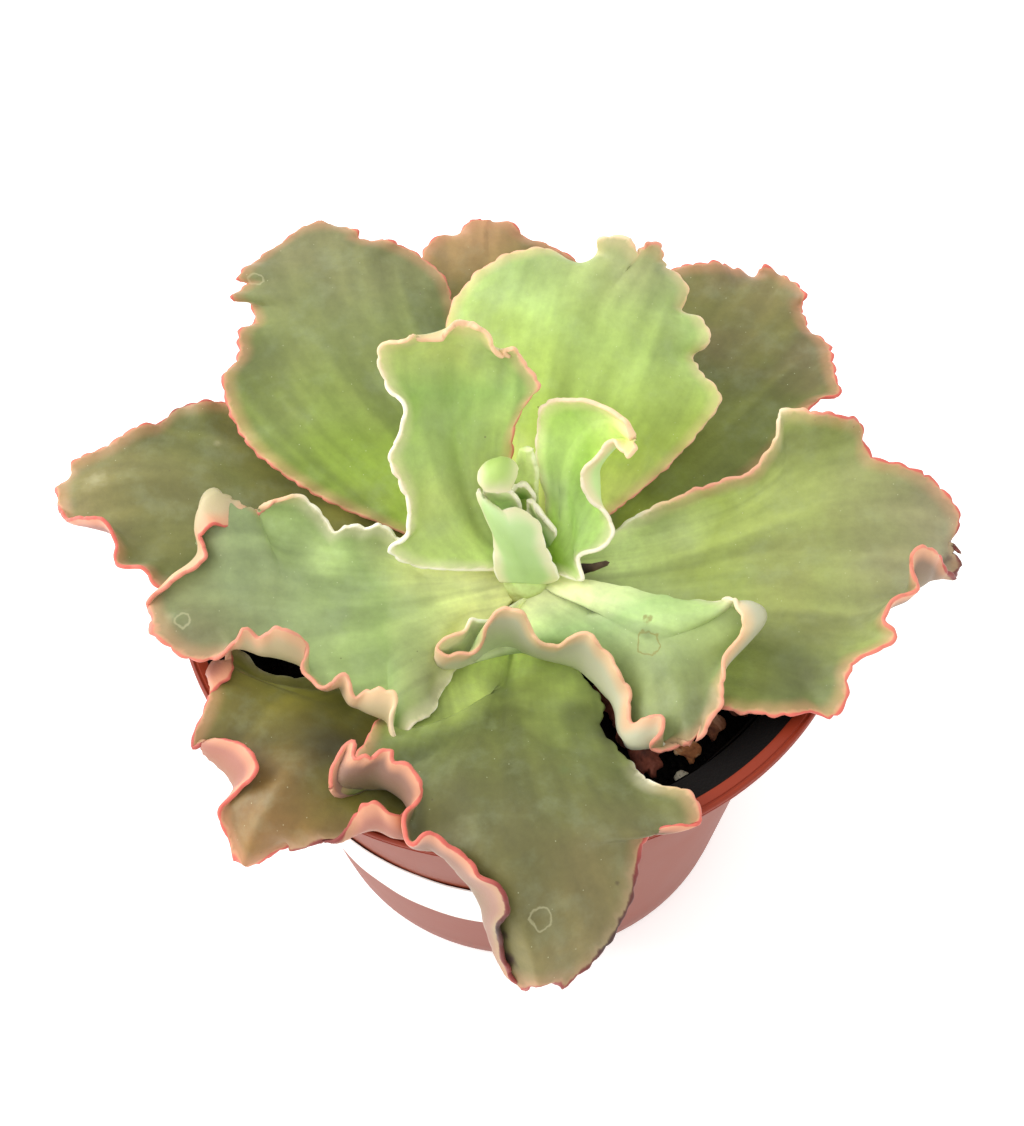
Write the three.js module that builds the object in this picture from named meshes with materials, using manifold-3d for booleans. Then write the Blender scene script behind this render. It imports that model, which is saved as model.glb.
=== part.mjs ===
// A potted giant ruffles echeveria: a rosette of broad fleshy leaves with waved edges, on a short
// stem in a tapered plastic nursery pot. Millimetres, +Z up, the front towards -Y. The origin is the
// centre of the pot's underside, where it rests.
import * as THREE from "three";
import { mergeVertices } from "three/addons/utils/BufferGeometryUtils.js";
import Module from "manifold-3d";

const wasm = await Module();
wasm.setup();

// Driving dimensions
const POT_HEIGHT = 105;
const LIP_RADIUS = 75; // a 15 cm nursery pot
const LIP_THICKNESS = 2.4;
const LIP_WIDTH = 5; // its flat top, out to its edge
const LIP_OVERHANG = 8; // from the wall's outer face at the top to the lip's edge
const FLARE_BOTTOM = 97; // above this the wall's inner face opens out to the lip
const BASE_RADIUS = 54;
const WALL = 1.6;
const FLOOR = 2;
const DRAIN_HOLES = 6;
const DRAIN_HOLE_RADIUS = 5;
const DRAIN_RING_RADIUS = 34;
const CLEAR = 0.3; // between pieces that touch
const SOIL_TOP = 92;
const LABEL_TOP = 57;
const LABEL_HEIGHT = 25;
const LABEL_THICKNESS = 0.6;
const LABEL_FROM = 212; // degrees round the pot, anticlockwise from +X seen from above
const LABEL_TO = 275;
const STEM = { x: 2, y: -7, foot: 80, top: 111.5, footRadius: 8, topRadius: 3.6 };
const STUB = { from: [3, -7, 101.8], to: [20, -4.5, 105.5], fromRadius: 1.7, toRadius: 0.8 };
const RIB_THICKNESS = 3; // of a leaf blade along its midrib
const MARGIN_THICKNESS = 1.1; // and at its waved edge

const COLOURS = {
  pot: 0xb57c6c,
  label: 0xf2efe9,
  soil: 0x1c1713,
  stem: 0x8a9a58,
  withered: 0x7a5138,
  granule: 0xd8d0bf,
  oldLeaf: 0x858a58,
  midLeaf: 0x96b070,
  youngLeaf: 0xb2cf70,
};

// Solids
function solidOf(geometry) {
  const bare = geometry.clone();
  bare.deleteAttribute("normal");
  bare.deleteAttribute("uv");
  const merged = mergeVertices(bare, 1e-4);
  const mesh = new wasm.Mesh({
    numProp: 3,
    vertProperties: merged.attributes.position.array,
    triVerts: new Uint32Array(merged.index.array),
  });
  return new wasm.Manifold(mesh);
}

function geometryOf(solid) {
  const mesh = solid.getMesh();
  const geometry = new THREE.BufferGeometry();
  geometry.setAttribute("position", new THREE.BufferAttribute(mesh.vertProperties, 3));
  geometry.setIndex(new THREE.BufferAttribute(mesh.triVerts, 1));
  geometry.computeVertexNormals();
  return geometry;
}

function turned(profile, segments) {
  const geometry = new THREE.LatheGeometry(
    profile.map(([r, z]) => new THREE.Vector2(r, z)),
    segments,
  );
  return geometry.rotateX(Math.PI / 2);
}

const object = new THREE.Group();

function addNode(name, geometry, colour, roughness) {
  const material = new THREE.MeshStandardMaterial({ color: colour, roughness, metalness: 0 });
  const mesh = new THREE.Mesh(geometry, material);
  mesh.name = name;
  object.add(mesh);
}

// The pot: a tapered cup with a flat lip turned outwards and holes in its floor
const WALL_TOP_RADIUS = LIP_RADIUS - LIP_OVERHANG;

function wallRadius(z) {
  return BASE_RADIUS + ((WALL_TOP_RADIUS - BASE_RADIUS) * z) / (POT_HEIGHT - LIP_THICKNESS);
}

function makePot() {
  const lipUnder = POT_HEIGHT - LIP_THICKNESS;
  const cup = solidOf(
    turned(
      [
        [0, 0],
        [BASE_RADIUS - 1, 0],
        [BASE_RADIUS, 1],
        [wallRadius(lipUnder), lipUnder],
        [LIP_RADIUS - 0.6, lipUnder],
        [LIP_RADIUS, lipUnder + 0.7],
        [LIP_RADIUS, POT_HEIGHT - 0.7],
        [LIP_RADIUS - 0.6, POT_HEIGHT],
        [LIP_RADIUS - LIP_WIDTH, POT_HEIGHT],
        [wallRadius(FLARE_BOTTOM) - WALL, FLARE_BOTTOM],
        [wallRadius(FLOOR) - WALL, FLOOR],
        [0, FLOOR],
      ],
      54,
    ),
  );
  const bore = new THREE.CylinderGeometry(DRAIN_HOLE_RADIUS, DRAIN_HOLE_RADIUS, 4 * FLOOR, 16);
  bore.rotateX(Math.PI / 2);
  let pot = cup;
  for (let i = 0; i < DRAIN_HOLES; i++) {
    const angle = (2 * Math.PI * i) / DRAIN_HOLES;
    const hole = bore.clone();
    hole.translate(DRAIN_RING_RADIUS * Math.cos(angle), DRAIN_RING_RADIUS * Math.sin(angle), 0);
    pot = pot.subtract(solidOf(hole));
  }
  addNode("pot", geometryOf(pot), COLOURS.pot, 0.55);
}

// The bare paper band that is glued round the front of the wall
function makeLabel() {
  const steps = 16;
  const from = THREE.MathUtils.degToRad(LABEL_FROM);
  const to = THREE.MathUtils.degToRad(LABEL_TO);
  const corners = [
    [LABEL_TOP - LABEL_HEIGHT, 0],
    [LABEL_TOP - LABEL_HEIGHT, LABEL_THICKNESS],
    [LABEL_TOP, LABEL_THICKNESS],
    [LABEL_TOP, 0],
  ];
  const positions = [];
  for (let i = 0; i <= steps; i++) {
    const angle = from + ((to - from) * i) / steps;
    for (const [z, out] of corners) {
      const radius = wallRadius(z) + CLEAR + out;
      positions.push(radius * Math.cos(angle), radius * Math.sin(angle), z);
    }
  }
  const index = [0, 2, 3, 0, 1, 2];
  for (let i = 0; i < steps; i++) {
    for (let k = 0; k < 4; k++) {
      const a = 4 * i + k;
      const b = 4 * i + ((k + 1) % 4);
      index.push(a, b + 4, b, a, a + 4, b + 4);
    }
  }
  const end = 4 * steps;
  index.push(end, end + 2, end + 1, end, end + 3, end + 2);
  const geometry = new THREE.BufferGeometry();
  geometry.setAttribute("position", new THREE.Float32BufferAttribute(positions, 3));
  geometry.setIndex(index);
  geometry.computeVertexNormals();
  addNode("pot_label", geometry, COLOURS.label, 0.8);
}

// A straight round piece between two points, thicker at one end
function tapered(from, to, fromRadius, toRadius) {
  const start = new THREE.Vector3(...from);
  const along = new THREE.Vector3(...to).sub(start);
  const shape = new THREE.CylinderGeometry(toRadius, fromRadius, along.length(), 8);
  shape.translate(0, along.length() / 2, 0);
  const up = new THREE.Vector3(0, 1, 0);
  shape.applyQuaternion(new THREE.Quaternion().setFromUnitVectors(up, along.normalize()));
  return solidOf(shape.translate(...from));
}

// The stem with the dried stub of a lost leaf, and the same shape a little larger, which the soil
// and the leaf roots are cut with
function stemSolid(extra) {
  const { x, y, foot, top, footRadius, topRadius } = STEM;
  const shape = turned(
    [
      [0, foot - extra],
      [footRadius * 0.7 + extra, foot - extra],
      [footRadius + extra, foot + 4],
      [footRadius + extra, 94],
      [footRadius - 1 + extra, 99],
      [(footRadius + topRadius) / 2 + extra, 105],
      [topRadius + extra, top - 2],
      [topRadius * 0.5 + extra, top + extra],
      [0, top + extra],
    ],
    20,
  );
  const stub = tapered(STUB.from, STUB.to, STUB.fromRadius + extra, STUB.toRadius + extra);
  return solidOf(shape.translate(x, y, 0)).add(stub);
}

// The soil fills the pot, a little heaped towards the stem and lower at the wall
function soilHeight(x, y) {
  const reach = Math.hypot(x - STEM.x, y - STEM.y) / LIP_RADIUS;
  const bumps = Math.sin(0.21 * x + 0.9) * Math.cos(0.17 * y - 0.4) + 0.6 * Math.sin(0.37 * (x - y));
  return SOIL_TOP - 2.5 * reach * reach + 0.8 * bumps;
}

function makeSoil() {
  const rings = [0, 14, 26, 37, 47, 55, 1];
  const sides = 40;
  const positions = [];
  const index = [];
  const rim = rings.length - 1;
  positions.push(0, 0, soilHeight(0, 0));
  for (let r = 1; r < rings.length; r++) {
    for (let k = 0; k < sides; k++) {
      const angle = (2 * Math.PI * k) / sides;
      const radius = r === rim ? wallRadius(SOIL_TOP - 3) - WALL - 2 * CLEAR : rings[r];
      const x = radius * Math.cos(angle);
      const y = radius * Math.sin(angle);
      positions.push(x, y, r === rim ? SOIL_TOP - 3 : soilHeight(x, y));
    }
  }
  const bottomRadius = wallRadius(FLOOR) - WALL - 2 * CLEAR;
  for (let k = 0; k < sides; k++) {
    const angle = (2 * Math.PI * k) / sides;
    positions.push(bottomRadius * Math.cos(angle), bottomRadius * Math.sin(angle), FLOOR + CLEAR);
  }
  positions.push(0, 0, FLOOR + CLEAR);
  const under = positions.length / 3 - 1;
  for (let k = 0; k < sides; k++) {
    const next = (k + 1) % sides;
    index.push(0, 1 + k, 1 + next);
    for (let r = 0; r < rim; r++) {
      const a = 1 + r * sides;
      index.push(a + k, a + sides + k, a + sides + next, a + k, a + sides + next, a + next);
    }
    index.push(1 + rim * sides + k, under, 1 + rim * sides + next);
  }
  const geometry = new THREE.BufferGeometry();
  geometry.setAttribute("position", new THREE.Float32BufferAttribute(positions, 3));
  geometry.setIndex(index);
  const soil = solidOf(geometry).subtract(stemSolid(CLEAR));
  addNode("soil", geometryOf(soil), COLOURS.soil, 0.95);
}

// Leaves. Each blade hangs on five guide curves from its root to its tip: the midrib, the waved
// left and right margins, and between them the fold on each side where the blade turns up or over.
// A side with no fold of its own bends gently towards its margin. Left and right are as seen from
// the root along the leaf, with its upper face up.
const LEAVES = {
  leaf_right: {
    colour: "midLeaf",
    rows: 26,
    rib: [
      [5, -6, 99], [27, -8, 102], [48, -9, 108], [69, -11, 113], [83, -11, 113], [94, -15, 111.5],
    ],
    left: [
      [6, -2, 100], [19, 1, 104], [25, 3, 109], [33, 4, 114], [43, 6, 117], [50.5, 7.5, 118],
      [55.5, 11, 122], [57.5, 13.5, 126], [58, 16.5, 128], [63.5, 15, 129.5], [69.5, 14, 129],
      [76, 15.5, 124], [76.5, 13.5, 121], [78, 9, 120.5], [84, 6, 121], [90, 4.5, 118],
      [94, 0.5, 115.5], [96, -3.5, 113.5], [94.5, -7, 112], [93, -8.5, 111.5], [95, -12, 112],
    ],
    leftFold: [
      [7, -3, 99], [27, 0, 104], [40, 2.5, 109.5], [49.5, 5.5, 114], [57.5, 9, 118], [67, 9.5, 118],
      [82, 1, 115], [93.5, -9.5, 111.5],
    ],
    right: [
      [5, -9, 98], [22, -21, 98], [35, -38, 102], [42, -45, 107], [54, -48, 109], [59, -47.5, 109],
      [62, -49, 109.5], [64.5, -47.5, 111.5], [66, -42, 113.5], [68.5, -38.5, 115], [72, -38, 116],
      [76, -35, 118], [74, -31.5, 118.5], [75.5, -28.5, 119], [79, -26.5, 119.5], [82, -25, 120],
      [80, -21.5, 124], [80.5, -20.5, 126.5], [82.5, -20, 127], [85.5, -19.5, 124.5], [88, -19.5, 120],
      [90, -19.5, 116], [92.5, -19, 112.5],
    ],
    rightFold: [
      [5, -8, 98], [26, -18, 100], [42, -31, 104], [53, -39, 108], [63, -35, 111], [73, -26, 112],
      [83, -21.5, 114], [87, -18.5, 113.5], [92.5, -18, 112],
    ],
  },
  leaf_front_right: {
    colour: "midLeaf",
    rows: 30,
    rib: [[5, -10, 103], [17, -21, 107], [26, -30, 110], [32, -40, 111], [33, -52.5, 106.5]],
    left: [
      [8, -8, 105], [21.5, -15.5, 110.5], [33.5, -21, 112.5], [40.5, -23.5, 115], [43.5, -26, 120],
      [44, -29.5, 121], [45, -31.5, 121], [44.5, -33.5, 118.5], [42.5, -35.5, 116], [41, -38, 115],
      [40.5, -40, 114], [40.5, -42.5, 113], [40, -46, 111.5], [37.5, -49, 110], [36, -51, 108.5],
      [34, -52, 107],
    ],
    leftFold: [
      [7, -9, 104], [21, -19, 111.5], [33, -25, 115], [41, -27, 118], [48, -26.5, 118.5],
      [50.5, -28.5, 117], [47.5, -31, 113.5], [42.5, -35.5, 111], [38, -42, 110.5], [36, -49, 108],
    ],
    right: [
      [2, -12, 103], [-9, -20, 109], [-15, -28, 112], [-17, -29, 108], [-11, -29, 109], [-7, -27, 112],
      [-3, -25, 119], [1, -26, 119], [3, -29, 112], [7, -30, 110], [11, -29, 114], [15, -29, 114],
      [17, -32, 112], [20, -35, 111], [22, -40, 108], [22, -46, 106], [25, -46.5, 109],
      [27.5, -47, 110.5], [28, -48.5, 110.5], [27.5, -50.5, 109], [25.5, -51.5, 107], [25, -51.5, 105],
      [27.5, -52.5, 104], [29.5, -52, 104.5], [32, -51.5, 105.5],
    ],
    rightFold: [
      [3, -12, 102], [-9, -23, 104], [-15, -29, 105.5], [-3, -25, 102.5], [8, -28, 102],
      [15, -34, 102], [19, -40, 102], [21.5, -50.5, 102.5], [25.5, -50.5, 103], [32, -50.5, 106],
    ],
  },
  leaf_left: {
    colour: "midLeaf",
    rows: 32,
    rib: [[0, -8, 103], [-26, -15, 107], [-46, -17, 111], [-63, -18, 114], [-77, -21, 115]],
    left: [
      [0, -11, 102], [-11, -24, 101], [-17, -35, 102], [-19, -41, 104], [-23, -45, 106],
      [-25, -49, 105.5], [-27, -47, 109], [-26, -41, 113], [-31, -39, 112], [-34, -40, 111],
      [-36, -36, 113], [-41, -38, 112], [-45, -34, 112], [-44, -30, 117], [-49, -29, 121],
      [-54, -29, 118], [-56, -28, 120], [-60, -30, 115], [-66, -31, 112], [-70, -30, 113],
      [-77, -25, 115],
    ],
    leftFold: [
      [0, -10, 102], [-13, -20, 102.5], [-21, -39, 106], [-28, -45, 106.5], [-36, -39, 108.5],
      [-45, -32, 110],
      [-54, -29, 112], [-61, -28, 113], [-71, -25, 114], [-77, -24, 115],
    ],
    right: [
      [-1, -6, 105], [-15, -6, 109], [-25, -3, 114], [-29, -1, 117], [-32, -1, 116], [-36, -1, 117],
      [-39, -1, 115], [-42, 2, 119], [-46, 3, 123], [-50, 2, 123], [-54, 1, 120], [-58, -1, 121],
      [-63, -5, 124], [-67, -7, 122], [-65, -10, 120], [-69, -13, 119], [-75, -17, 118], [-78, -19, 116],
    ],
    rightFold: [
      [-1, -7, 104], [-17, -8, 107], [-30, -4, 111], [-42, -2, 113], [-53, 1, 117], [-58, 0, 126],
      [-63, 3, 127], [-67, 1, 124], [-68, -7, 117], [-74, -14, 116], [-78, -19, 115],
    ],
  },
  leaf_left_low: {
    colour: "oldLeaf",
    rows: 24,
    rib: [[-2, -5, 96.5], [-26, 5, 100], [-49, 12, 105], [-71, 17, 110], [-88, 17, 112], [-102, 15, 111]],
    left: [
      [-3, -7, 96.5], [-26, -9, 99], [-48, -12, 103], [-61, -14, 108], [-70, -14, 110], [-77, -12, 113],
      [-80, -9, 115], [-86, -7, 115], [-86, -2, 117], [-89, 2, 119], [-94, 4, 117], [-99, 7, 113],
      [-101, 11, 111],
    ],
    leftFold: [
      [-3, -6, 96.5], [-26, -5, 99], [-48, -8, 103], [-61, -10, 108.5], [-71, -8, 110.5],
      [-78, -6, 111.5], [-88, 3, 111.5], [-97, 8, 111], [-102, 13, 110],
    ],
    right: [
      [-1, -3, 96], [-26, 17, 101], [-49, 31, 106], [-66, 40, 111], [-72, 39, 113], [-77, 39, 111],
      [-81, 34, 112], [-85, 32, 114], [-92, 28, 112], [-100, 23, 112], [-99, 22, 110], [-103, 17, 111],
    ],
  },
  leaf_front_left: {
    colour: "oldLeaf",
    rows: 28,
    rib: [
      [-2, -9, 95], [-23, -24, 95.5], [-34, -37, 98], [-42, -48, 107], [-46, -56, 111],
      [-51, -64, 109], [-58, -70.5, 98.5],
    ],
    left: [
      [-2, -11, 94.5], [-18, -28, 94.5], [-22, -45, 96], [-25, -56, 102.5], [-27, -65, 107.5],
      [-30, -64, 110], [-34, -65, 109], [-38, -67, 107], [-43, -68, 104.5], [-49, -69, 101],
      [-56, -71, 98],
    ],
    leftFold: [
      [-2, -10, 94.5], [-18, -27, 94.5], [-23, -44, 96.5], [-26, -56, 103], [-27, -66, 108],
      [-32, -66, 108.5], [-38, -66, 108.5], [-46, -68, 106.5], [-56, -70, 100],
    ],
    right: [
      [-4, -7, 95], [-26, -15, 96.5], [-41, -24, 98], [-47, -28, 101], [-56, -30, 107], [-60, -29, 110],
      [-60, -34, 112], [-64, -37, 110], [-66, -42, 108], [-68, -46, 105], [-63, -49, 111],
      [-57, -51, 114], [-53, -55, 112], [-56, -58, 109], [-61, -60, 106], [-62, -63, 104],
      [-60, -67, 101], [-60, -70, 98],
    ],
    rightFold: [
      [-4, -8, 95], [-26, -18, 96.5], [-42, -30, 99.5], [-52, -36, 107], [-60, -36, 110],
      [-65, -36, 110.5], [-63, -44, 110.5], [-61, -53, 109], [-57, -59, 107], [-57, -66, 104], [-58, -69, 100],
    ],
  },
  leaf_front: {
    colour: "midLeaf",
    rows: 32,
    rib: [[1, -10, 97], [-3, -26, 96], [-6, -52, 108], [-5, -76, 113], [-1, -90, 106], [1, -97, 96]],
    left: [
      [5, -11, 97], [12, -27, 96.5], [17, -38, 99], [16, -44, 100], [21, -54, 104], [25, -61, 108],
      [32, -65, 111], [33, -72, 112], [28, -72, 112], [23, -73, 110], [21, -77, 105], [19, -83, 100],
      [13, -91, 96], [5, -97, 93],
    ],
    leftFold: [
      [4, -11, 97], [8, -27, 96.5], [11, -42, 101], [17, -59, 107], [25, -73, 110], [21, -74, 107],
      [18, -80, 103], [11, -90, 98], [4, -96, 94],
    ],
    right: [
      [-2, -11, 97], [-18, -34, 100.5], [-22, -44.5, 104], [-25, -56, 117], [-34, -57, 123],
      [-38, -63, 117], [-36, -60, 120], [-31, -59, 122], [-25, -59, 122], [-21, -65, 118],
      [-24, -71, 116], [-23, -74.5, 115], [-18, -74, 117], [-14, -77, 115], [-10.5, -79.5, 114],
      [-9.5, -82, 113.5], [-5.5, -84.5, 114], [-4.5, -86.5, 112.5], [-5, -88.5, 110], [-6.5, -89, 106],
      [-6, -91, 101], [-5, -94, 96], [-2, -96, 91.5],
    ],
    rightFold: [
      [-1, -11, 97], [-17, -34.5, 100.5], [-18, -53, 108], [-30, -62, 115], [-37, -63, 115.5],
      [-28, -63, 115], [-23, -69, 114.5], [-20, -74.5, 111.5], [-14, -77.5, 107.5],
      [-10.5, -81.5, 103.5], [-9, -85.5, 100.5], [-6.5, -91.5, 95], [-4.5, -94.5, 92], [-2, -96, 91.5],
    ],
  },
  leaf_back_left: {
    colour: "oldLeaf",
    rows: 26,
    rib: [[0, -4, 100], [-14, 17, 108], [-27, 35, 115], [-38, 59, 120], [-44, 86.5, 122.5]],
    left: [
      [-3, -5, 100.5], [-15, 0, 103], [-27, 5, 106], [-42, 11, 110], [-53, 18, 113], [-60, 25, 115],
      [-64, 33, 118], [-65, 39, 121], [-62, 46, 120], [-62, 51, 122], [-59, 57, 120], [-60, 62, 121],
      [-64, 60, 125], [-61, 67, 122], [-63, 67, 124], [-60, 74, 122], [-54, 80, 122], [-48, 85, 123],
    ],
    right: [
      [2, -2, 101], [-3, 27, 106], [-8, 48, 110], [-12, 61, 113], [-14, 70, 118], [-22, 77, 121],
      [-28, 79, 123], [-34, 81, 121], [-35, 82, 124], [-39, 85, 121],
    ],
  },
  leaf_back: {
    colour: "oldLeaf",
    rows: 20,
    rib: [[2, -2, 96], [-2, 31, 100], [-3, 55, 105.5], [-4, 72, 109], [-4, 92.5, 115.5]],
    left: [
      [-1, -2, 96], [-10, 27, 99], [-17, 51, 104], [-19, 64, 108], [-20, 76, 110], [-20, 87, 111],
      [-16, 89, 114], [-11, 90, 113], [-8, 92, 116], [-5, 92, 116],
    ],
    right: [
      [5, -2, 96], [8, 29, 99], [15, 52, 104], [20, 65, 108], [21, 74, 109], [19, 81, 110],
      [12, 86, 112], [6, 89, 112], [2, 92, 115], [-3, 92, 114],
    ],
  },
  leaf_back_right: {
    colour: "oldLeaf",
    rows: 22,
    rib: [[7, -3, 97], [25, 22, 102], [45, 41, 107.5], [61, 59, 111], [68.5, 70, 113]],
    left: [
      [5, -1, 97], [19, 34, 101], [32, 58, 108], [40, 76, 111], [49, 76, 114], [54, 76, 113],
      [61, 74, 110], [63, 74, 114], [67, 72, 112],
    ],
    right: [
      [9, -5, 97], [23, 9, 99], [43, 17, 103], [60, 26, 108], [70, 31, 113], [75, 31, 115],
      [75, 38, 115], [75, 48, 114], [72, 53, 112], [71, 62, 112], [72, 62, 115], [70, 68, 114],
    ],
  },
  leaf_upper_back: {
    colour: "youngLeaf",
    rows: 28,
    rib: [[4, -4, 105], [10, 13, 115], [16, 30, 125], [22, 48, 131], [26, 60.5, 138]],
    left: [
      [2, -3, 105], [-1, 20, 110], [-9, 38, 114], [-14, 48, 119], [-13, 54, 124], [-6, 62, 128],
      [3, 64, 132], [11, 64, 132], [15, 62, 129], [20, 61, 129], [22, 62, 134], [23, 61, 138],
    ],
    right: [
      [6, -5, 105], [15, 3, 107], [21, 4, 110], [33, 12, 114], [42, 20, 118], [47, 26, 122],
      [44, 31, 123], [42, 39, 121], [46, 41, 125], [44, 46, 126], [40, 50, 125], [42, 53, 129],
      [37, 60, 129], [35, 61, 131], [36, 59, 136], [32, 60, 137], [32, 62, 132], [29, 60, 138],
    ],
  },
  leaf_upper_left: {
    colour: "youngLeaf",
    rows: 26,
    rib: [[1, -5, 107], [-5, 5, 116], [-9, 16, 130], [-11, 25, 142], [-8.5, 23, 152.5]],
    left: [
      [0, -8, 107], [-15, -10, 111], [-22, -10, 113], [-27, -9, 118], [-23, -7, 121], [-23, -1, 127],
      [-26, 4, 132], [-24, 8, 135], [-22, 11, 140], [-26, 16, 143], [-27, 18, 147], [-24, 20, 151],
      [-18, 19, 152], [-13, 21, 151], [-11, 21, 154],
    ],
    right: [
      [3, -3, 109], [-1, 4, 117], [0, 9, 126], [1, 12, 132], [4, 14, 138], [6, 14, 142], [4, 16, 145],
      [0, 18, 148], [-3, 19, 150], [-6, 21, 153],
    ],
  },
  leaf_upper_right: {
    colour: "youngLeaf",
    rows: 22,
    rib: [[5, -7, 108], [10, -4, 116], [11, 4, 123], [14, 9, 130], [21, 11, 138]],
    left: [
      [4, -6, 110], [7, 1, 117], [5, 8, 125], [5, 13, 131], [6, 14, 136], [12, 13, 139], [18, 12, 139],
    ],
    right: [
      [6, -9, 108], [14, -14, 111], [13, -10, 114], [18, -10, 117], [21, -7, 118], [19, -4, 121],
      [15, -2, 125], [14, 0, 129], [17, 1, 134], [20, 3, 137], [24, 3, 134], [26, 4, 136], [23, 8, 138],
    ],
    rightFold: [
      [6, -8, 108], [12, -9, 112], [14, -3, 114], [16, 0, 117], [18, 2, 121], [18, 4, 126],
      [20, 5, 130], [22, 6, 133], [21, 8, 136],
    ],
  },
  leaf_inner_front: {
    colour: "youngLeaf",
    rows: 18,
    rib: [[2, -11, 105], [1, -10, 114], [-2, -6, 121], [-4, -3, 126], [-3, -2, 132], [-3, -1, 136]],
    left: [
      [5, -10, 105], [9, -12, 109], [8, -11, 113], [6, -9, 119], [5, -7, 123], [0, -5, 126],
      [-1, -4, 131], [0, -3, 134], [-1, -2, 137],
    ],
    right: [
      [-1, -10, 105], [-5, -10, 108], [-5, -9, 114], [-5, -5, 120], [-6, -3, 125], [-7, -2, 129],
      [-7, -2, 132], [-5, -1, 136],
    ],
  },
};

const ACROSS = [0, 0.36, 0.62, 0.83, 1]; // columns from the rib to a margin, closer at the margin

function curveThrough(points) {
  return new THREE.CatmullRomCurve3(
    points.map((p) => new THREE.Vector3(...p)),
    false,
    "centripetal",
  );
}

function averageAlong(curve, u, reach) {
  const sum = new THREE.Vector3();
  const steps = 4;
  let weight = 0;
  for (let k = -steps; k <= steps; k++) {
    const at = u + (reach * k) / steps;
    if (at < 0 || at > 1) continue;
    sum.add(curve.getPointAt(at));
    weight++;
  }
  return sum.divideScalar(weight);
}

// The fold of a side that has none of its own, part of the way out and a little raised
function plainFold(leaf, side, u) {
  const out = averageAlong(leaf[side], u, 0.12);
  const rib = leaf.rib.getPointAt(u);
  const across = new THREE.Vector3().subVectors(
    averageAlong(leaf.right, u, 0.12),
    averageAlong(leaf.left, u, 0.12),
  );
  const normal = across.cross(leaf.rib.getTangentAt(u)).normalize();
  const reach = out.sub(rib);
  const lift = reach.dot(normal);
  reach.addScaledVector(normal, -lift);
  return rib.addScaledVector(reach, 0.6).addScaledVector(normal, 0.25 * lift);
}

// The quadratic through rib, fold and margin, spaced by the lengths between them
function acrossBlade(rib, fold, margin, s) {
  const inner = rib.distanceTo(fold);
  const outer = fold.distanceTo(margin);
  const f = THREE.MathUtils.clamp(inner / (inner + outer), 0.35, 0.85);
  const point = new THREE.Vector3();
  point.addScaledVector(rib, ((s - f) * (s - 1)) / f);
  point.addScaledVector(fold, (s * (s - 1)) / (f * (f - 1)));
  point.addScaledVector(margin, (s * (s - f)) / (1 - f));
  return point;
}

// For each row, how far along its guide the fold lies nearest to the margin, evened out between rows
function foldStations(guide, margin, rows) {
  const reach = 0.14;
  const raw = [];
  for (let i = 0; i <= rows; i++) {
    const u = i / rows;
    const target = margin.getPointAt(u);
    let best = u;
    let bestCost = Infinity;
    for (let k = -14; k <= 14; k++) {
      const at = THREE.MathUtils.clamp(u + (reach * k) / 14, 0, 1);
      const cost = guide.getPointAt(at).distanceTo(target) * (1 + Math.abs(at - u));
      if (cost < bestCost) [best, bestCost] = [at, cost];
    }
    raw.push(best);
  }
  return raw.map((_, i) => {
    if (i === 0 || i === rows) return i / rows;
    const near = raw.slice(Math.max(i - 2, 0), i + 3);
    return near.reduce((a, b) => a + b, 0) / near.length;
  });
}

function bladeGrid(spec) {
  const leaf = {};
  for (const guide of ["rib", "left", "right", "leftFold", "rightFold"]) {
    if (spec[guide]) leaf[guide] = curveThrough(spec[guide]);
  }
  const stations = {};
  for (const side of ["left", "right"]) {
    const guide = leaf[side + "Fold"];
    if (guide) stations[side] = foldStations(guide, leaf[side], spec.rows);
  }
  const grid = [];
  for (let i = 0; i <= spec.rows; i++) {
    const u = i / spec.rows;
    const rib = leaf.rib.getPointAt(u);
    const row = [];
    for (const side of ["left", "right"]) {
      const margin = leaf[side].getPointAt(u);
      const guide = leaf[side + "Fold"];
      const fold = guide ? guide.getPointAt(stations[side][i]) : plainFold(leaf, side, u);
      const points = ACROSS.map((s) => acrossBlade(rib, fold, margin, s));
      if (side === "left") row.push(...points.reverse());
      else row.push(...points.slice(1));
    }
    grid.push(row);
  }
  return grid;
}

function gridNormals(grid) {
  const last = grid.length - 1;
  const edge = grid[0].length - 1;
  return grid.map((row, i) =>
    row.map((_, j) => {
      const along = new THREE.Vector3().subVectors(
        grid[Math.min(i + 1, last)][j],
        grid[Math.max(i - 1, 0)][j],
      );
      const over = new THREE.Vector3().subVectors(row[Math.min(j + 1, edge)], row[Math.max(j - 1, 0)]);
      return over.cross(along).normalize();
    }),
  );
}

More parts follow.
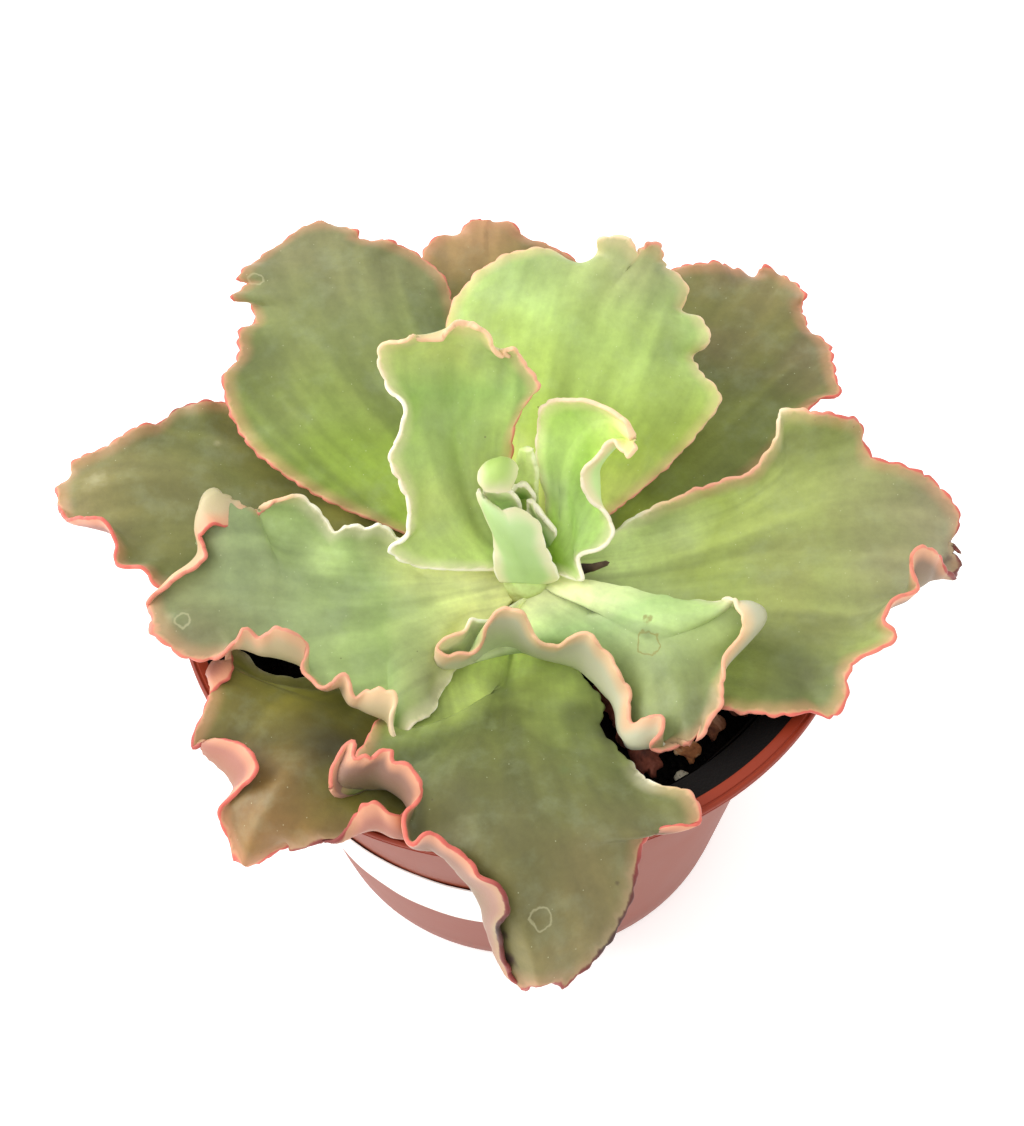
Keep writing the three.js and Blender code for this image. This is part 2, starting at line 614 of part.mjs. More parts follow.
// A blade with thickness: both faces are split into triangles along the same diagonals
function bladeGeometry(spec) {
  const grid = bladeGrid(spec);
  const normals = gridNormals(grid);
  const rows = grid.length;
  const columns = grid[0].length;
  const middle = (columns - 1) / 2;
  const positions = [];
  for (const face of [1, -1]) {
    for (let i = 0; i < rows; i++) {
      for (let j = 0; j < columns; j++) {
        const s = ACROSS[Math.abs(j - middle)];
        const alongFade = 1 - 0.35 * (i / (rows - 1));
        const middleThickness = (spec.thickness ?? RIB_THICKNESS) * alongFade;
        const thickness = THREE.MathUtils.lerp(middleThickness, MARGIN_THICKNESS, s ** 1.2);
        const p = grid[i][j].clone().addScaledVector(normals[i][j], (face * thickness) / 2);
        positions.push(p.x, p.y, p.z);
      }
    }
  }
  const index = [];
  const under = rows * columns;
  const quad = (a, b, c, d) => index.push(a, b, c, a, c, d);
  for (let i = 0; i < rows - 1; i++) {
    for (let j = 0; j < columns - 1; j++) {
      const a = i * columns + j;
      quad(a, a + 1, a + columns + 1, a + columns);
      quad(under + a, under + a + columns, under + a + columns + 1, under + a + 1);
      // the second face keeps the first one's diagonal
    }
  }
  for (let i = 0; i < rows - 1; i++) {
    const a = i * columns;
    const b = a + columns - 1;
    quad(a, a + columns, under + a + columns, under + a);
    quad(b, under + b, under + b + columns, b + columns);
  }
  for (let j = 0; j < columns - 1; j++) {
    const b = (rows - 1) * columns + j;
    quad(j, under + j, under + j + 1, j + 1);
    quad(b, b + 1, under + b + 1, under + b);
  }
  const geometry = new THREE.BufferGeometry();
  geometry.setAttribute("position", new THREE.Float32BufferAttribute(positions, 3));
  geometry.setIndex(index);
  return geometry;
}

function makeLeaves() {
  const room = stemSolid(CLEAR);
  for (const [name, spec] of Object.entries(LEAVES)) {
    const leaf = solidOf(bladeGeometry(spec)).subtract(room);
    addNode(name, geometryOf(leaf), COLOURS[spec.colour], 0.5);
  }
}

// A narrow blade along its rib, widest in the middle, for the buds and the withered leaves
function narrowBlade({ rib, across, halfWidth, cup, thickness }) {
  const rows = 5;
  const line = curveThrough(rib);
  const over = new THREE.Vector3(...across).normalize();
  const guides = { left: [], right: [] };
  for (let k = 0; k <= rows; k++) {
    const u = k / rows;
    const width = halfWidth * (0.3 + 0.7 * Math.sin(Math.PI * Math.min(0.15 + 0.8 * u, 1)));
    const centre = line.getPointAt(u);
    const lift = line.getTangentAt(u).cross(over).normalize().multiplyScalar(-cup * width);
    guides.left.push(centre.clone().addScaledVector(over, -width).add(lift).toArray());
    guides.right.push(centre.clone().addScaledVector(over, width).add(lift).toArray());
  }
  return solidOf(bladeGeometry({ rows, rib, ...guides, thickness }));
}

const BUDS = {
  bud_back: { rib: [[2, -5, 110], [2, -1, 118], [2, 1, 123], [3, 4, 128]], across: [1, 0, 0], halfWidth: 3 },
  bud_left: { rib: [[0, -7, 110], [1, -5, 115], [1, -2, 120]], across: [1, 0.3, 0], halfWidth: 2.5 },
  bud_right: { rib: [[4, -8, 110], [6, -7, 115], [6, -5, 120]], across: [0.8, -0.6, 0], halfWidth: 2 },
};

// Dead lower leaves, which lie curled on the soil in front to the right
const WITHERED = {
  withered_leaf_1: { rib: [[34, -33, 93.3], [38, -39, 94.3], [40, -46, 92.3]], across: [0.8, -0.5, 0] },
  withered_leaf_2: { rib: [[43, -28, 93.5], [46, -34, 94.5], [47, -41, 93]], across: [0.9, -0.3, 0] },
  withered_leaf_3: { rib: [[29, -38, 94], [33, -44, 95], [35, -50, 93]], across: [0.8, -0.6, 0] },
  withered_leaf_4: { rib: [[18, -30, 93.3], [23, -40, 94.3], [25, -52, 92.8]], across: [0.9, -0.3, 0] },
};

// A pale granule on the soil
const GRANULE = { x: 31, y: -49, radius: 1.9 };

function makeSmallParts() {
  const room = stemSolid(CLEAR);
  for (const [name, spec] of Object.entries(BUDS)) {
    const bud = narrowBlade({ ...spec, cup: 0.3, thickness: 1.8 }).subtract(room);
    addNode(name, geometryOf(bud), COLOURS.youngLeaf, 0.5);
  }
  for (const [name, spec] of Object.entries(WITHERED)) {
    const leaf = narrowBlade({ ...spec, halfWidth: 3.5, cup: 0.5, thickness: 1.4 });
    addNode(name, geometryOf(leaf), COLOURS.withered, 0.85);
  }
  const { x, y, radius } = GRANULE;
  const granule = new THREE.IcosahedronGeometry(radius, 0).scale(1, 1, 0.75);
  granule.translate(x, y, soilHeight(x, y) + 0.75 * radius + 2 * CLEAR);
  addNode("granule", geometryOf(solidOf(granule)), COLOURS.granule, 0.8);
}

makePot();
makeLabel();
makeSoil();
addNode("stem", geometryOf(stemSolid(0)), COLOURS.stem, 0.7);
makeLeaves();
makeSmallParts();

export default object;
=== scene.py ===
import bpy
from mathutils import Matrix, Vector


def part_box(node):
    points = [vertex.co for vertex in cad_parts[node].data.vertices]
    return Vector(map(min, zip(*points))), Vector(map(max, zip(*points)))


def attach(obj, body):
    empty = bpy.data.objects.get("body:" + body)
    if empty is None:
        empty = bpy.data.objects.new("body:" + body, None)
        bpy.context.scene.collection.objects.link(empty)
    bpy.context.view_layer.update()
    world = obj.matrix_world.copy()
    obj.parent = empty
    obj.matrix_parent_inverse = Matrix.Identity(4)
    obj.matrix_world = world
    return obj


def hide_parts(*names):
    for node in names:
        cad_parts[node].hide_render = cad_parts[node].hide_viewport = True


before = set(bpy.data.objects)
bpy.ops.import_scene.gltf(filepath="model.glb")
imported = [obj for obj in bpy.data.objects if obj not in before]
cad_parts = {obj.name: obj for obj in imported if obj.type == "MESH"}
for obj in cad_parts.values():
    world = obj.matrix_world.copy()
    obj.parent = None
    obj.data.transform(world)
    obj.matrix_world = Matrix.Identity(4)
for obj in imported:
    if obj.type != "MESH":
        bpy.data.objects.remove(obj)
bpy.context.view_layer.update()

import math

import bpy
import numpy as np
from mathutils import Matrix

bl_info = {
    "name": "Potted Ruffled Echeveria",
    "version": (1, 0, 0),
    "blender": (4, 5, 0),
    "location": "View3D > Sidebar > Echeveria",
    "description": "Leaves, stem, pot, label and soil of a potted ruffled echeveria",
    "category": "Add Mesh",
}

# The leaves' guide points and the pot's profile are in millimetres, everything in Blender in metres.
MM = 0.001

# Camera, as it stood to the pot: place in metres, angles in degrees, focal length in pixels
CAMERA_PLACE = (-0.0011, -0.2052, 0.3937)
CAMERA_DOWN = 55.2
CAMERA_ROLL = -2.45
FOCAL_PIXELS = 1600
PICTURE_HEIGHT = 1126
SENSOR = 36

POT_HEIGHT = 105
LIP_RADIUS = 75
LIP_WIDTH = 3.6
LIP_THICKNESS = 2.4
WALL_TOP_RADIUS = 67
BASE_RADIUS = 54
WALL = 1.6
FLOOR = 2
LABEL_BOTTOM = 32
LABEL_TOP = 57
LABEL_FROM = 212
LABEL_TO = 275
SOIL_TOP = 92
SOIL_RADIUS = 64.8
SOIL_SIDE_TOP = 96
SOIL_WALL_GAP = 0.6
SOIL_BOTTOM = FLOOR + 0.3
GRANULE_SHIFT = (1.7, -2.4, 0)
GRANULE_RISE = 1.3
STEM_X = 2
STEM_Y = -7
STUB_FOOT = (3, -8.4, 101.8)
STUB_WAY = (17, 2.5, 3.7)

# Rows from root to tip, columns from rib to margin and first random seed of each kind of blade
LEAF_SEED = 100
YOUNG_GRID = (90, 14)
YOUNG_SEED = 300
WITHERED_GRID = (44, 12)
WITHERED_SEED = 400
WITHERED_HALF_WIDTH = 4.6
WITHERED_CUP = 0.5

# The softbox: its place, what it points at, and its size, in metres
KEY_PLACE = (-0.9, 0.2, 0.65)
KEY_AIM = (0, 0, 0.1)
KEY_SIZE = (0.9, 0.7)

# Guide points of the leaves. Each blade hangs on its midrib, its waved left and right margins and,
# where the blade turns up or over, a fold on that side. Left and right are as seen from the root
# along the leaf, with its upper face up.
LEAVES = {
    "leaf_right": {
        "rib": [
            (5, -6, 99), (27, -8, 102), (48, -9, 108), (69, -11, 113), (83, -11, 113), (94, -15, 111.5),
        ],
        "left": [
            (6, -2, 100), (19, 1, 104), (25, 3, 109), (33, 4, 114), (43, 6, 117), (50.5, 7.5, 118),
            (55.5, 11, 122), (57.5, 13.5, 126), (58, 16.5, 128), (63.5, 15, 129.5), (69.5, 14, 129),
            (76, 15.5, 124), (76.5, 13.5, 121), (78, 9, 120.5), (84, 6, 121), (90, 4.5, 118),
            (94, 0.5, 115.5), (96, -3.5, 113.5), (94.5, -7, 112), (93, -8.5, 111.5), (95, -12, 112),
        ],
        "left_fold": [
            (7, -3, 99), (27, 0, 104), (40, 2.5, 109.5), (49.5, 5.5, 114), (57.5, 9, 118), (67, 9.5, 118),
            (82, 1, 115), (93.5, -9.5, 111.5),
        ],
        "right": [
            (5, -9, 98), (22, -21, 98), (35, -38, 102), (42, -45, 107), (54, -48, 109), (59, -47.5, 109),
            (62, -49, 109.5), (64.5, -47.5, 111.5), (66, -42, 113.5), (68.5, -38.5, 115), (72, -38, 116),
            (76, -35, 118), (74, -31.5, 118.5), (75.5, -28.5, 119), (79, -26.5, 119.5), (82, -25, 120),
            (80, -21.5, 124), (80.5, -20.5, 126.5), (82.5, -20, 127), (85.5, -19.5, 124.5),
            (88, -19.5, 120), (90, -19.5, 116), (92.5, -19, 112.5),
        ],
        "right_fold": [
            (5, -8, 98), (26, -18, 100), (42, -31, 104), (53, -39, 108), (63, -35, 111), (73, -26, 112),
            (83, -21.5, 114), (87, -18.5, 113.5), (92.5, -18, 112),
        ],
    },
    "leaf_front_right": {
        "rib": [
            (5, -10, 103), (17, -21, 107), (26, -30, 110), (32, -40, 111), (33, -52.5, 106.5),
        ],
        "left": [
            (8, -8, 105), (21.5, -15.5, 110.5), (33.5, -21, 112.5), (40.5, -23.5, 115), (43.5, -26, 120),
            (44, -29.5, 121), (45, -31.5, 121), (44.5, -33.5, 118.5), (42.5, -35.5, 116), (41, -38, 115),
            (40.5, -40, 114), (40.5, -42.5, 113), (40, -46, 111.5), (37.5, -49, 110), (36, -51, 108.5),
            (34, -52, 107),
        ],
        "left_fold": [
            (7, -9, 104), (21, -19, 111.5), (33, -25, 115), (41, -27, 118), (48, -26.5, 118.5),
            (50.5, -28.5, 117), (47.5, -31, 113.5), (42.5, -35.5, 111), (38, -42, 110.5), (36, -49, 108),
        ],
        "right": [
            (2, -12, 103), (-3.5, -18.5, 107), (-6.5, -22.5, 110), (-8.5, -23.5, 112), (-10, -23.5, 113),
            (-11.5, -26, 112), (-15.5, -27, 111.5), (-17.5, -28, 109.5), (-15.5, -29.5, 108.5),
            (-13, -29.5, 109), (-10, -29.5, 109), (-7.5, -28.5, 112), (-6.5, -27, 116),
            (-4.5, -25.5, 118.5), (-2, -25.5, 119), (1, -26.5, 119), (2, -28, 115), (4, -29.5, 112.5),
            (7.5, -30, 110.5), (10, -29.5, 113), (14.5, -29.5, 114.5), (15.5, -30.5, 114),
            (16.5, -31.5, 112.5), (18.5, -33.5, 111.5), (20, -36.5, 110.5), (22, -40, 108),
            (22, -46, 106), (25, -46.5, 109), (27.5, -47, 110.5), (28, -48.5, 110.5), (27.5, -50.5, 109),
            (25.5, -51.5, 107), (25, -51.5, 105), (27.5, -52.5, 104), (29.5, -52, 104.5),
            (32, -51.5, 105.5),
        ],
        "right_fold": [
            (3, -12, 102), (-9, -23, 104), (-16, -29.5, 105), (-3, -25, 102.5), (8, -28, 102),
            (15, -34, 102), (19, -40, 102), (21.5, -50.5, 102.5), (25.5, -50.5, 103), (32, -50.5, 106),
        ],
    },
    "leaf_left": {
        "rib": [
            (0, -8, 103), (-26, -15, 107), (-46, -17, 111), (-63, -18, 114), (-77, -21, 115),
        ],
        "left": [
            (0, -11, 102), (-11, -24, 101), (-17, -35, 102), (-19, -41, 104), (-23, -45, 106),
            (-25, -49, 105.5), (-27, -47, 109), (-26, -41, 113), (-31, -39, 112), (-34, -40, 111),
            (-36, -36, 113), (-41, -38, 112), (-45, -34, 112), (-44, -30, 117), (-49, -29, 121),
            (-54, -29, 118), (-56, -28, 120), (-60, -30, 115), (-66, -31, 112), (-70, -30, 113),
            (-77, -25, 115),
        ],
        "left_fold": [
            (0, -10, 102), (-13, -20, 102.5), (-21, -39, 106), (-28, -45, 106.5), (-36, -39, 108.5),
            (-45, -32, 110), (-54, -29, 112), (-61, -28, 113), (-71, -25, 114), (-77, -24, 115),
        ],
        "right": [
            (-1, -6, 105), (-15, -6, 109), (-25, -3, 114), (-29, -1, 117), (-32, -1, 116), (-36, -1, 117),
            (-39, -1, 115), (-42, 2, 119), (-46, 3, 123), (-50, 2, 123), (-54, 1, 120), (-58, -1, 120.5),
            (-61, -4, 121.5), (-63.5, -4, 123), (-65.5, -5.5, 122.5), (-67, -5.5, 121.5), (-65, -10, 120),
            (-69, -13, 119), (-75, -17, 118), (-78, -19, 116),
        ],
        "right_fold": [
            (-1, -7, 104), (-17, -8, 107), (-30, -4, 111), (-42, -2, 113), (-53, 1, 117),
            (-57.5, 1.5, 123), (-61, 3.5, 123), (-62.5, 4.5, 126), (-65.5, 3.5, 125), (-67, 0.5, 122.5),
            (-68, -7, 117), (-74, -14, 116), (-78, -19, 115),
        ],
    },
    "leaf_left_low": {
        "rib": [
            (-2, -5, 96.5), (-26, 5, 100), (-49, 12, 105), (-71, 17, 110), (-88, 17, 112),
            (-102, 15, 111),
        ],
        "left": [
            (-3, -7, 96.5), (-26, -9, 99), (-48, -12, 103), (-61, -14, 108), (-70, -14, 110),
            (-77, -12, 113), (-80, -9, 115), (-86, -7, 115), (-86, -2, 117), (-89, 2, 119), (-94, 4, 117),
            (-99, 7, 113), (-101, 11, 111),
        ],
        "left_fold": [
            (-3, -6, 96.5), (-26, -5, 99), (-48, -8, 103), (-61, -10, 108.5), (-71, -8, 110.5),
            (-78, -6, 111.5), (-88, 3, 111.5), (-97, 8, 111), (-102, 13, 110),
        ],
        "right": [
            (-1, -3, 96), (-26, 17, 101), (-49, 31, 106), (-66, 40, 111), (-72, 39, 113), (-77, 39, 111),
            (-81, 34, 112), (-85, 32, 114), (-92, 28, 112), (-100, 23, 112), (-99, 22, 110),
            (-103, 17, 111),
        ],
    },
    "leaf_front_left": {
        "rib": [
            (-2, -9, 95), (-18, -20, 95.5), (-32, -34, 98), (-40, -46, 105), (-46, -56, 110),
            (-51, -64, 109), (-57, -71, 99),
        ],
        "left": [
            (-2, -11, 94.5), (-16, -26, 95.5), (-20, -40, 97), (-21.5, -58, 102), (-22.5, -63, 105.5),
            (-24, -65.5, 109), (-25.5, -67.5, 112), (-27, -67.5, 113.5), (-28.5, -66.5, 114.5),
            (-30, -66, 115), (-32, -66, 114), (-33.5, -67, 112), (-35.5, -68.5, 109.5), (-37.5, -70, 108),
            (-40.5, -70, 106.5), (-44, -70, 104.5), (-47.5, -70, 102.5), (-46, -68, 102),
            (-51, -69.5, 100.5), (-54.5, -70.5, 98.5),
        ],
        "left_fold": [
            (-2, -10, 94.5), (-17, -26, 95.5), (-21, -40, 98), (-21, -62, 103.5), (-22.5, -68, 107),
            (-25, -70, 108), (-27, -69.5, 108), (-30.5, -69, 108), (-33.5, -69, 107.5),
            (-36, -69.5, 107.5), (-40.5, -69.5, 106.5), (-45, -69.5, 104.5), (-48, -68, 102.5),
            (-55, -70.5, 98.5),
        ],
        "right": [
            (-4, -7, 95), (-26, -15, 96.5), (-46.5, -27.5, 98.5), (-54, -27, 99.5), (-57, -25.5, 100.5),
            (-60, -22.5, 102), (-61.5, -23, 104), (-60.5, -28, 107), (-60.5, -33, 109), (-63, -36, 109.5),
            (-65, -38.5, 109), (-66, -41, 108), (-67.5, -44, 107), (-68, -47.5, 105.5), (-65, -47, 107),
            (-61, -48, 110), (-57.5, -50, 112), (-54.5, -52.5, 113), (-53, -55.5, 113), (-54, -58.5, 112),
            (-56, -59, 110), (-58.5, -60, 108), (-61, -62, 107), (-61.5, -63.5, 105), (-60.5, -65.5, 103),
            (-59.5, -67.5, 101), (-59, -70, 99.5),
        ],
        "right_fold": [
            (-4, -8, 95), (-20, -17, 96), (-42.5, -30.5, 98), (-49, -32.5, 100), (-54, -32, 102.5),
            (-60.5, -29.5, 106), (-66.5, -28.5, 108), (-66.5, -32, 108), (-64, -35.5, 108.5),
            (-63.5, -40.5, 108), (-65.5, -45.5, 106.5), (-66.5, -48, 105), (-63, -51, 105),
            (-60.5, -54, 105.5), (-59, -57, 106), (-59.5, -61.5, 105.5), (-58.5, -65.5, 103),
            (-58.5, -70, 99.5),
        ],
    },
    "leaf_front": {
        "rib": [
            (1, -10, 97), (-3, -26, 96), (-6, -52, 108), (-5, -76, 113), (-1, -90, 106), (1, -97, 96),
        ],
        "left": [
            (5, -11, 97), (12, -27, 96.5), (17, -38, 99), (16, -44, 100), (21, -54, 104), (25, -61, 108),
            (32, -65, 111), (33, -72, 112), (28, -72, 112), (23, -73, 110), (21, -77, 105),
            (19, -83, 100), (13, -91, 96), (5, -97, 93),
        ],
        "left_fold": [
            (4, -11, 97), (8, -27, 96.5), (11, -42, 101), (17, -59, 107), (25, -73, 110), (21, -74, 107),
            (18, -80, 103), (11, -90, 98), (4, -96, 94),
        ],
        "right": [
            (-2, -11, 97), (-21, -26, 98), (-25, -34, 99.5), (-30, -41.5, 104), (-32.5, -49.5, 108.5),
            (-36, -57, 110.5), (-38.5, -61, 111.5), (-38, -59, 115), (-35.5, -55.5, 118.5),
            (-33.5, -55, 119.5), (-33, -58.5, 119), (-31, -58, 119.5), (-29.5, -59, 119.5),
            (-27.5, -58, 120.5), (-25.5, -58, 121), (-25.5, -60, 120), (-23, -61, 120.5),
            (-21, -62.5, 119.5), (-20, -64.5, 118), (-21, -66, 115.5), (-23.5, -68.5, 114),
            (-24, -71, 114), (-23.5, -74, 115), (-22, -75.5, 115.5), (-20, -74.5, 117), (-18, -74, 117),
            (-14, -77, 115), (-10.5, -79.5, 114), (-9.5, -82, 113.5), (-5.5, -84.5, 114),
            (-4.5, -86.5, 112.5), (-5, -88.5, 110), (-6.5, -89, 106), (-6, -91, 101), (-5, -94, 96),
            (-2, -96, 91.5),
        ],
        "right_fold": [
            (-1, -11, 97), (-11, -33, 99), (-15, -45, 103), (-26, -46, 105.5), (-29, -52.5, 108.5),
            (-33.5, -58, 109.5), (-37, -60, 110), (-33.5, -59.5, 109.5), (-29.5, -59.5, 109.5),
            (-27, -61, 109.5), (-25, -63, 109.5), (-23.5, -65, 109.5), (-22.5, -69.5, 110.5),
            (-21, -73, 111), (-17, -75.5, 110), (-14, -77.5, 107.5), (-10.5, -81.5, 103.5),
            (-9, -85.5, 100.5), (-6.5, -91.5, 95), (-4.5, -94.5, 92), (-2, -96, 91.5),
        ],
    },
    "leaf_back_left": {
        "rib": [
            (0, -4, 100), (-14, 17, 108), (-27, 35, 115), (-38, 59, 120), (-44, 86.5, 122.5),
        ],
        "left": [
            (-3, -5, 100.5), (-15, 0, 103), (-27, 5, 106), (-42, 11, 110), (-53, 18, 113), (-60, 25, 115),
            (-64, 33, 118), (-65, 39, 121), (-62, 46, 120), (-62, 51, 122), (-59, 57, 120),
            (-60, 62, 121), (-64, 60, 125), (-61, 67, 122), (-63, 67, 124), (-60, 74, 122),
            (-54, 80, 122), (-48, 85, 123),
        ],
        "right": [
            (2, -2, 101), (-3, 27, 106), (-8, 48, 110), (-12, 61, 113), (-14, 70, 118), (-22, 77, 121),
            (-28, 79, 123), (-34, 81, 121), (-35, 82, 124), (-39, 85, 121),
        ],
    },
    "leaf_back": {
        "rib": [
            (2, -2, 96), (-2, 31, 100), (-3, 55, 105.5), (-4, 72, 109), (-4, 92.5, 115.5),
        ],
        "left": [
            (-1, -2, 96), (-10, 27, 99), (-17, 51, 104), (-19, 64, 108), (-20, 76, 110), (-20, 87, 111),
            (-16, 89, 114), (-11, 90, 113), (-8, 92, 116), (-5, 92, 116),
        ],
        "right": [
            (5, -2, 96), (8, 29, 99), (15, 52, 104), (20, 65, 108), (21, 74, 109), (19, 81, 110),
            (12, 86, 112), (6, 89, 112), (2, 92, 115), (-3, 92, 114),
        ],
    },
    "leaf_back_right": {
        "rib": [
            (7, -3, 97), (25, 22, 102), (45, 41, 107.5), (61, 59, 111), (68.5, 70, 113),
        ],
        "left": [
            (5, -1, 97), (19, 34, 101), (32, 58, 108), (40, 76, 111), (49, 76, 114), (54, 76, 113),
            (61, 74, 110), (63, 74, 114), (67, 72, 112),
        ],
        "right": [
            (9, -5, 97), (23.5, 0, 98), (43, 9, 101), (61, 22.5, 106.5), (70, 31, 113), (75, 31, 115),
            (75, 38, 115), (75, 48, 114), (72, 53, 112), (71, 62, 112), (72, 62, 115), (70, 68, 114),
        ],
    },
    "leaf_upper_back": {
        "rib": [
            (4, -4, 105), (10, 13, 115), (16, 30, 125), (22, 48, 131), (30.5, 58, 135.5),
        ],
        "left": [
            (2, -3, 105), (-1, 20, 110), (-9, 38, 114), (-14, 48, 119), (-13, 54, 124), (-6, 62, 128),
            (3, 64, 132), (11, 64, 132), (15, 62, 129), (20, 61, 129.5), (21.5, 61.5, 133),
            (21.5, 61, 138), (24.5, 60.5, 139), (29, 59.5, 139),
        ],
        "right": [
            (6, -5, 105), (15, 3, 107), (21, 4, 110), (33, 12, 114), (42, 20, 118), (47, 26, 122),
            (44, 31, 123), (42, 39, 121), (46, 41, 125), (44, 46, 126), (40, 50, 125), (42, 53, 129),
            (37, 60, 129), (37.5, 60.5, 129), (36, 60, 132), (36, 59.5, 136), (33.5, 59, 138),
            (32, 58.5, 138.5),
        ],
    },
    "leaf_upper_left": {
        "rib": [
            (1, -5, 107), (-6, -3, 112), (-9.5, 2.5, 119), (-11, 11, 129), (-11, 20.5, 140),
            (-8.5, 23, 152.5),
        ],
        "left": [
            (0, -8, 107), (-15, -10, 111), (-22, -10, 113), (-27, -9, 118), (-23, -7, 121),
            (-23, -1, 127), (-26, 4, 132), (-24, 8, 135), (-22, 11, 140), (-26, 16, 143), (-27, 19, 149),
            (-25, 20, 151), (-21, 18, 153), (-19.5, 19, 154), (-19, 19, 152.5), (-16, 19, 151.5),
            (-13, 19.5, 151.5), (-12.5, 20.5, 153), (-11, 21, 154),
        ],
        "right": [
            (3, -3, 109), (-1, 4, 117), (0, 9, 126), (1, 12, 132), (4, 14, 138), (6, 13.5, 142),
            (5.5, 15.5, 144), (3, 17.5, 146), (2, 18.5, 148.5), (1, 18.5, 149.5), (-0.5, 18.5, 148),
            (0.5, 18.5, 146.5), (-1, 18, 147), (-3, 18.5, 149.5), (-4.5, 20.5, 152), (-6, 21, 153),
        ],
    },
    "leaf_upper_right": {
        "rib": [
            (5, -7, 108), (10, -4, 116), (11, 4, 123), (14.5, 8.5, 130), (20, 9, 136), (25, 2.5, 138.5),
        ],
        "left": [
            (4, -6, 110), (7, 1, 117), (5, 8, 125), (5.5, 13, 131), (6.5, 14, 136), (12, 13, 139),
            (17.5, 11, 139.5), (21, 8.5, 140), (23.5, 5, 140),
        ],
        "right": [
            (6, -9, 108), (14, -14, 111), (13, -10, 114), (18, -10, 117), (21, -7, 118), (19, -4, 121),
            (15, -2, 125), (14, 0, 129), (17, 1, 134), (20.5, 3, 137), (22, 1, 136.5), (23.5, -2, 137),
            (25.5, 0, 138),
        ],
        "right_fold": [
            (6, -8, 108), (12, -9, 112), (14.5, -3, 114), (16, 0, 117), (18, 2, 121), (18, 4, 126),
            (20, 5.5, 130), (22.5, 5, 134), (25, 2.5, 137),
        ],
    },
}

# The small leaves in the middle: the front one stands up, folds back and ends in a little hood, and
# three more unfold behind it
YOUNG = {
    "inner_front": {
        "rib": [
            (2, -10.5, 107.5), (0.5, -9.5, 114.5), (-0.5, -8.5, 120.5),
            (-1.5, -7, 124), (-2.5, -5, 125),
        ],
        "left": [
            (7.5, -10.5, 106), (9, -12, 109.5), (8, -11, 113), (6, -8.5, 118),
            (5, -5.5, 121), (2.5, -4.5, 123), (0, -3.5, 124),
        ],
        "right": [
            (-4, -10, 106), (-5, -9.5, 109), (-5, -8, 113), (-5, -4, 118.5), (-6.5, -3.5, 122.5),
            (-7.5, -1.5, 126),
            (-7.5, -1.5, 128.5), (-7, -2, 128), (-6.5, -3, 126.5), (-5.5, -4.5, 125.5), (-4, -5, 125),
        ],
    },
    "inner_fold": {
        "rib": [(-2.5, -2.5, 116), (-3, 0.5, 120), (-3.5, -0.5, 126.5)],
        "left": [(-5.5, -3.5, 118), (-6.5, -1, 123.5), (-6.5, -1.5, 128)],
        "right": [(2, -3.5, 117), (1, -2, 123), (-0.5, -2, 128)],
    },
    "inner_hood": {
        "rib": [
            (-3, 2.5, 126), (-2.5, 3, 130), (-2.5, 1, 133.5), (-3, -1.5, 134.5), (-3, -3.5, 133),
            (-3.5, -4, 130.5),
        ],
        "left": [(-5.5, 2, 126.5), (-6.5, 2, 129.5), (-7, -0.5, 131.5), (-7, -2, 131), (-6, -3.5, 130)],
        "left_fold": [
            (-4.5, 2.5, 126.5), (-5, 2.5, 131), (-5.5, -0.5, 133.5), (-5.5, -3, 133), (-5, -4, 130.5),
        ],
        "right": [(-0.5, 2, 126.5), (0.5, 2, 129.5), (0.5, -1, 131.5), (0, -2, 131), (-1, -3.5, 130)],
        "right_fold": [
            (-1.5, 2.5, 126.5), (-0.5, 2.5, 131), (-0.5, -1, 133.5), (-1, -3, 133), (-2, -4, 130.5),
        ],
    },
    "bud_back": {
        "rib": [(2, 0.5, 111), (2, 4, 114), (1.5, 4, 118.5), (1.5, 3.5, 123)],
        "left": [(0, 0, 112), (-0.5, 2, 117), (-1, 2.5, 121), (0.5, 3, 123)],
        "right": [(4, -0.5, 112), (4, 1, 117), (4.5, 1.5, 121), (2.5, 3, 123)],
    },
    "bud_left": {
        "rib": [(2.5, 1.5, 111), (2.5, 4, 119), (3, 6, 125), (3, 6.5, 131)],
        "left": [(0.5, 1, 112), (0, 3, 120.5), (0.5, 5, 126.5), (1.5, 7, 131)],
        "right": [(4.5, 0.5, 112), (5, 2.5, 120.5), (5, 4.5, 126.5), (4.5, 6.5, 131)],
    },
    "bud_right": {
        "rib": [(7.5, -5.5, 110), (6.5, -4.5, 115), (5, -2.5, 119), (3.5, -1, 123)],
        "left": [(5.5, -6.5, 111), (3.5, -4.5, 116), (2.5, -2.5, 119.5), (2.5, -1, 123)],
        "right": [(10, -6, 110.5), (9.5, -5, 115), (7, -4.5, 119), (5, -2.5, 121.5), (4, -1, 123)],
    },
}

# Dead lower leaves that lie curled on the soil
WITHERED = {
    "withered_leaf_1": {
        "rib": [(33.5, -31, 94.6), (37.5, -37.5, 96), (38.5, -43.5, 93.6)],
        "across": (0.8, -0.5, 0), "tones": ("#6A3828", "#B0704E", "#ECB492"),
    },
    "withered_leaf_2": {
        "rib": [(43.5, -26, 94.6), (46, -32.5, 96), (46, -38.5, 94)],
        "across": (0.9, -0.3, 0), "tones": ("#4A281E", "#7E4A38", "#A86E58"),
    },
    "withered_leaf_3": {
        "rib": [(28, -36.5, 94.6), (32, -43, 96.4), (33.5, -48.5, 93.6)],
        "across": (0.8, -0.6, 0), "tones": ("#8A4C2A", "#CC8450", "#FFE0B0"),
    },
    "withered_leaf_4": {
        "rib": [(18, -30, 94.2), (23, -40, 95.6), (25.5, -52, 93.6)],
        "across": (0.9, -0.3, 0), "tones": ("#4A2218", "#84422E", "#AA6450"),
    },
}

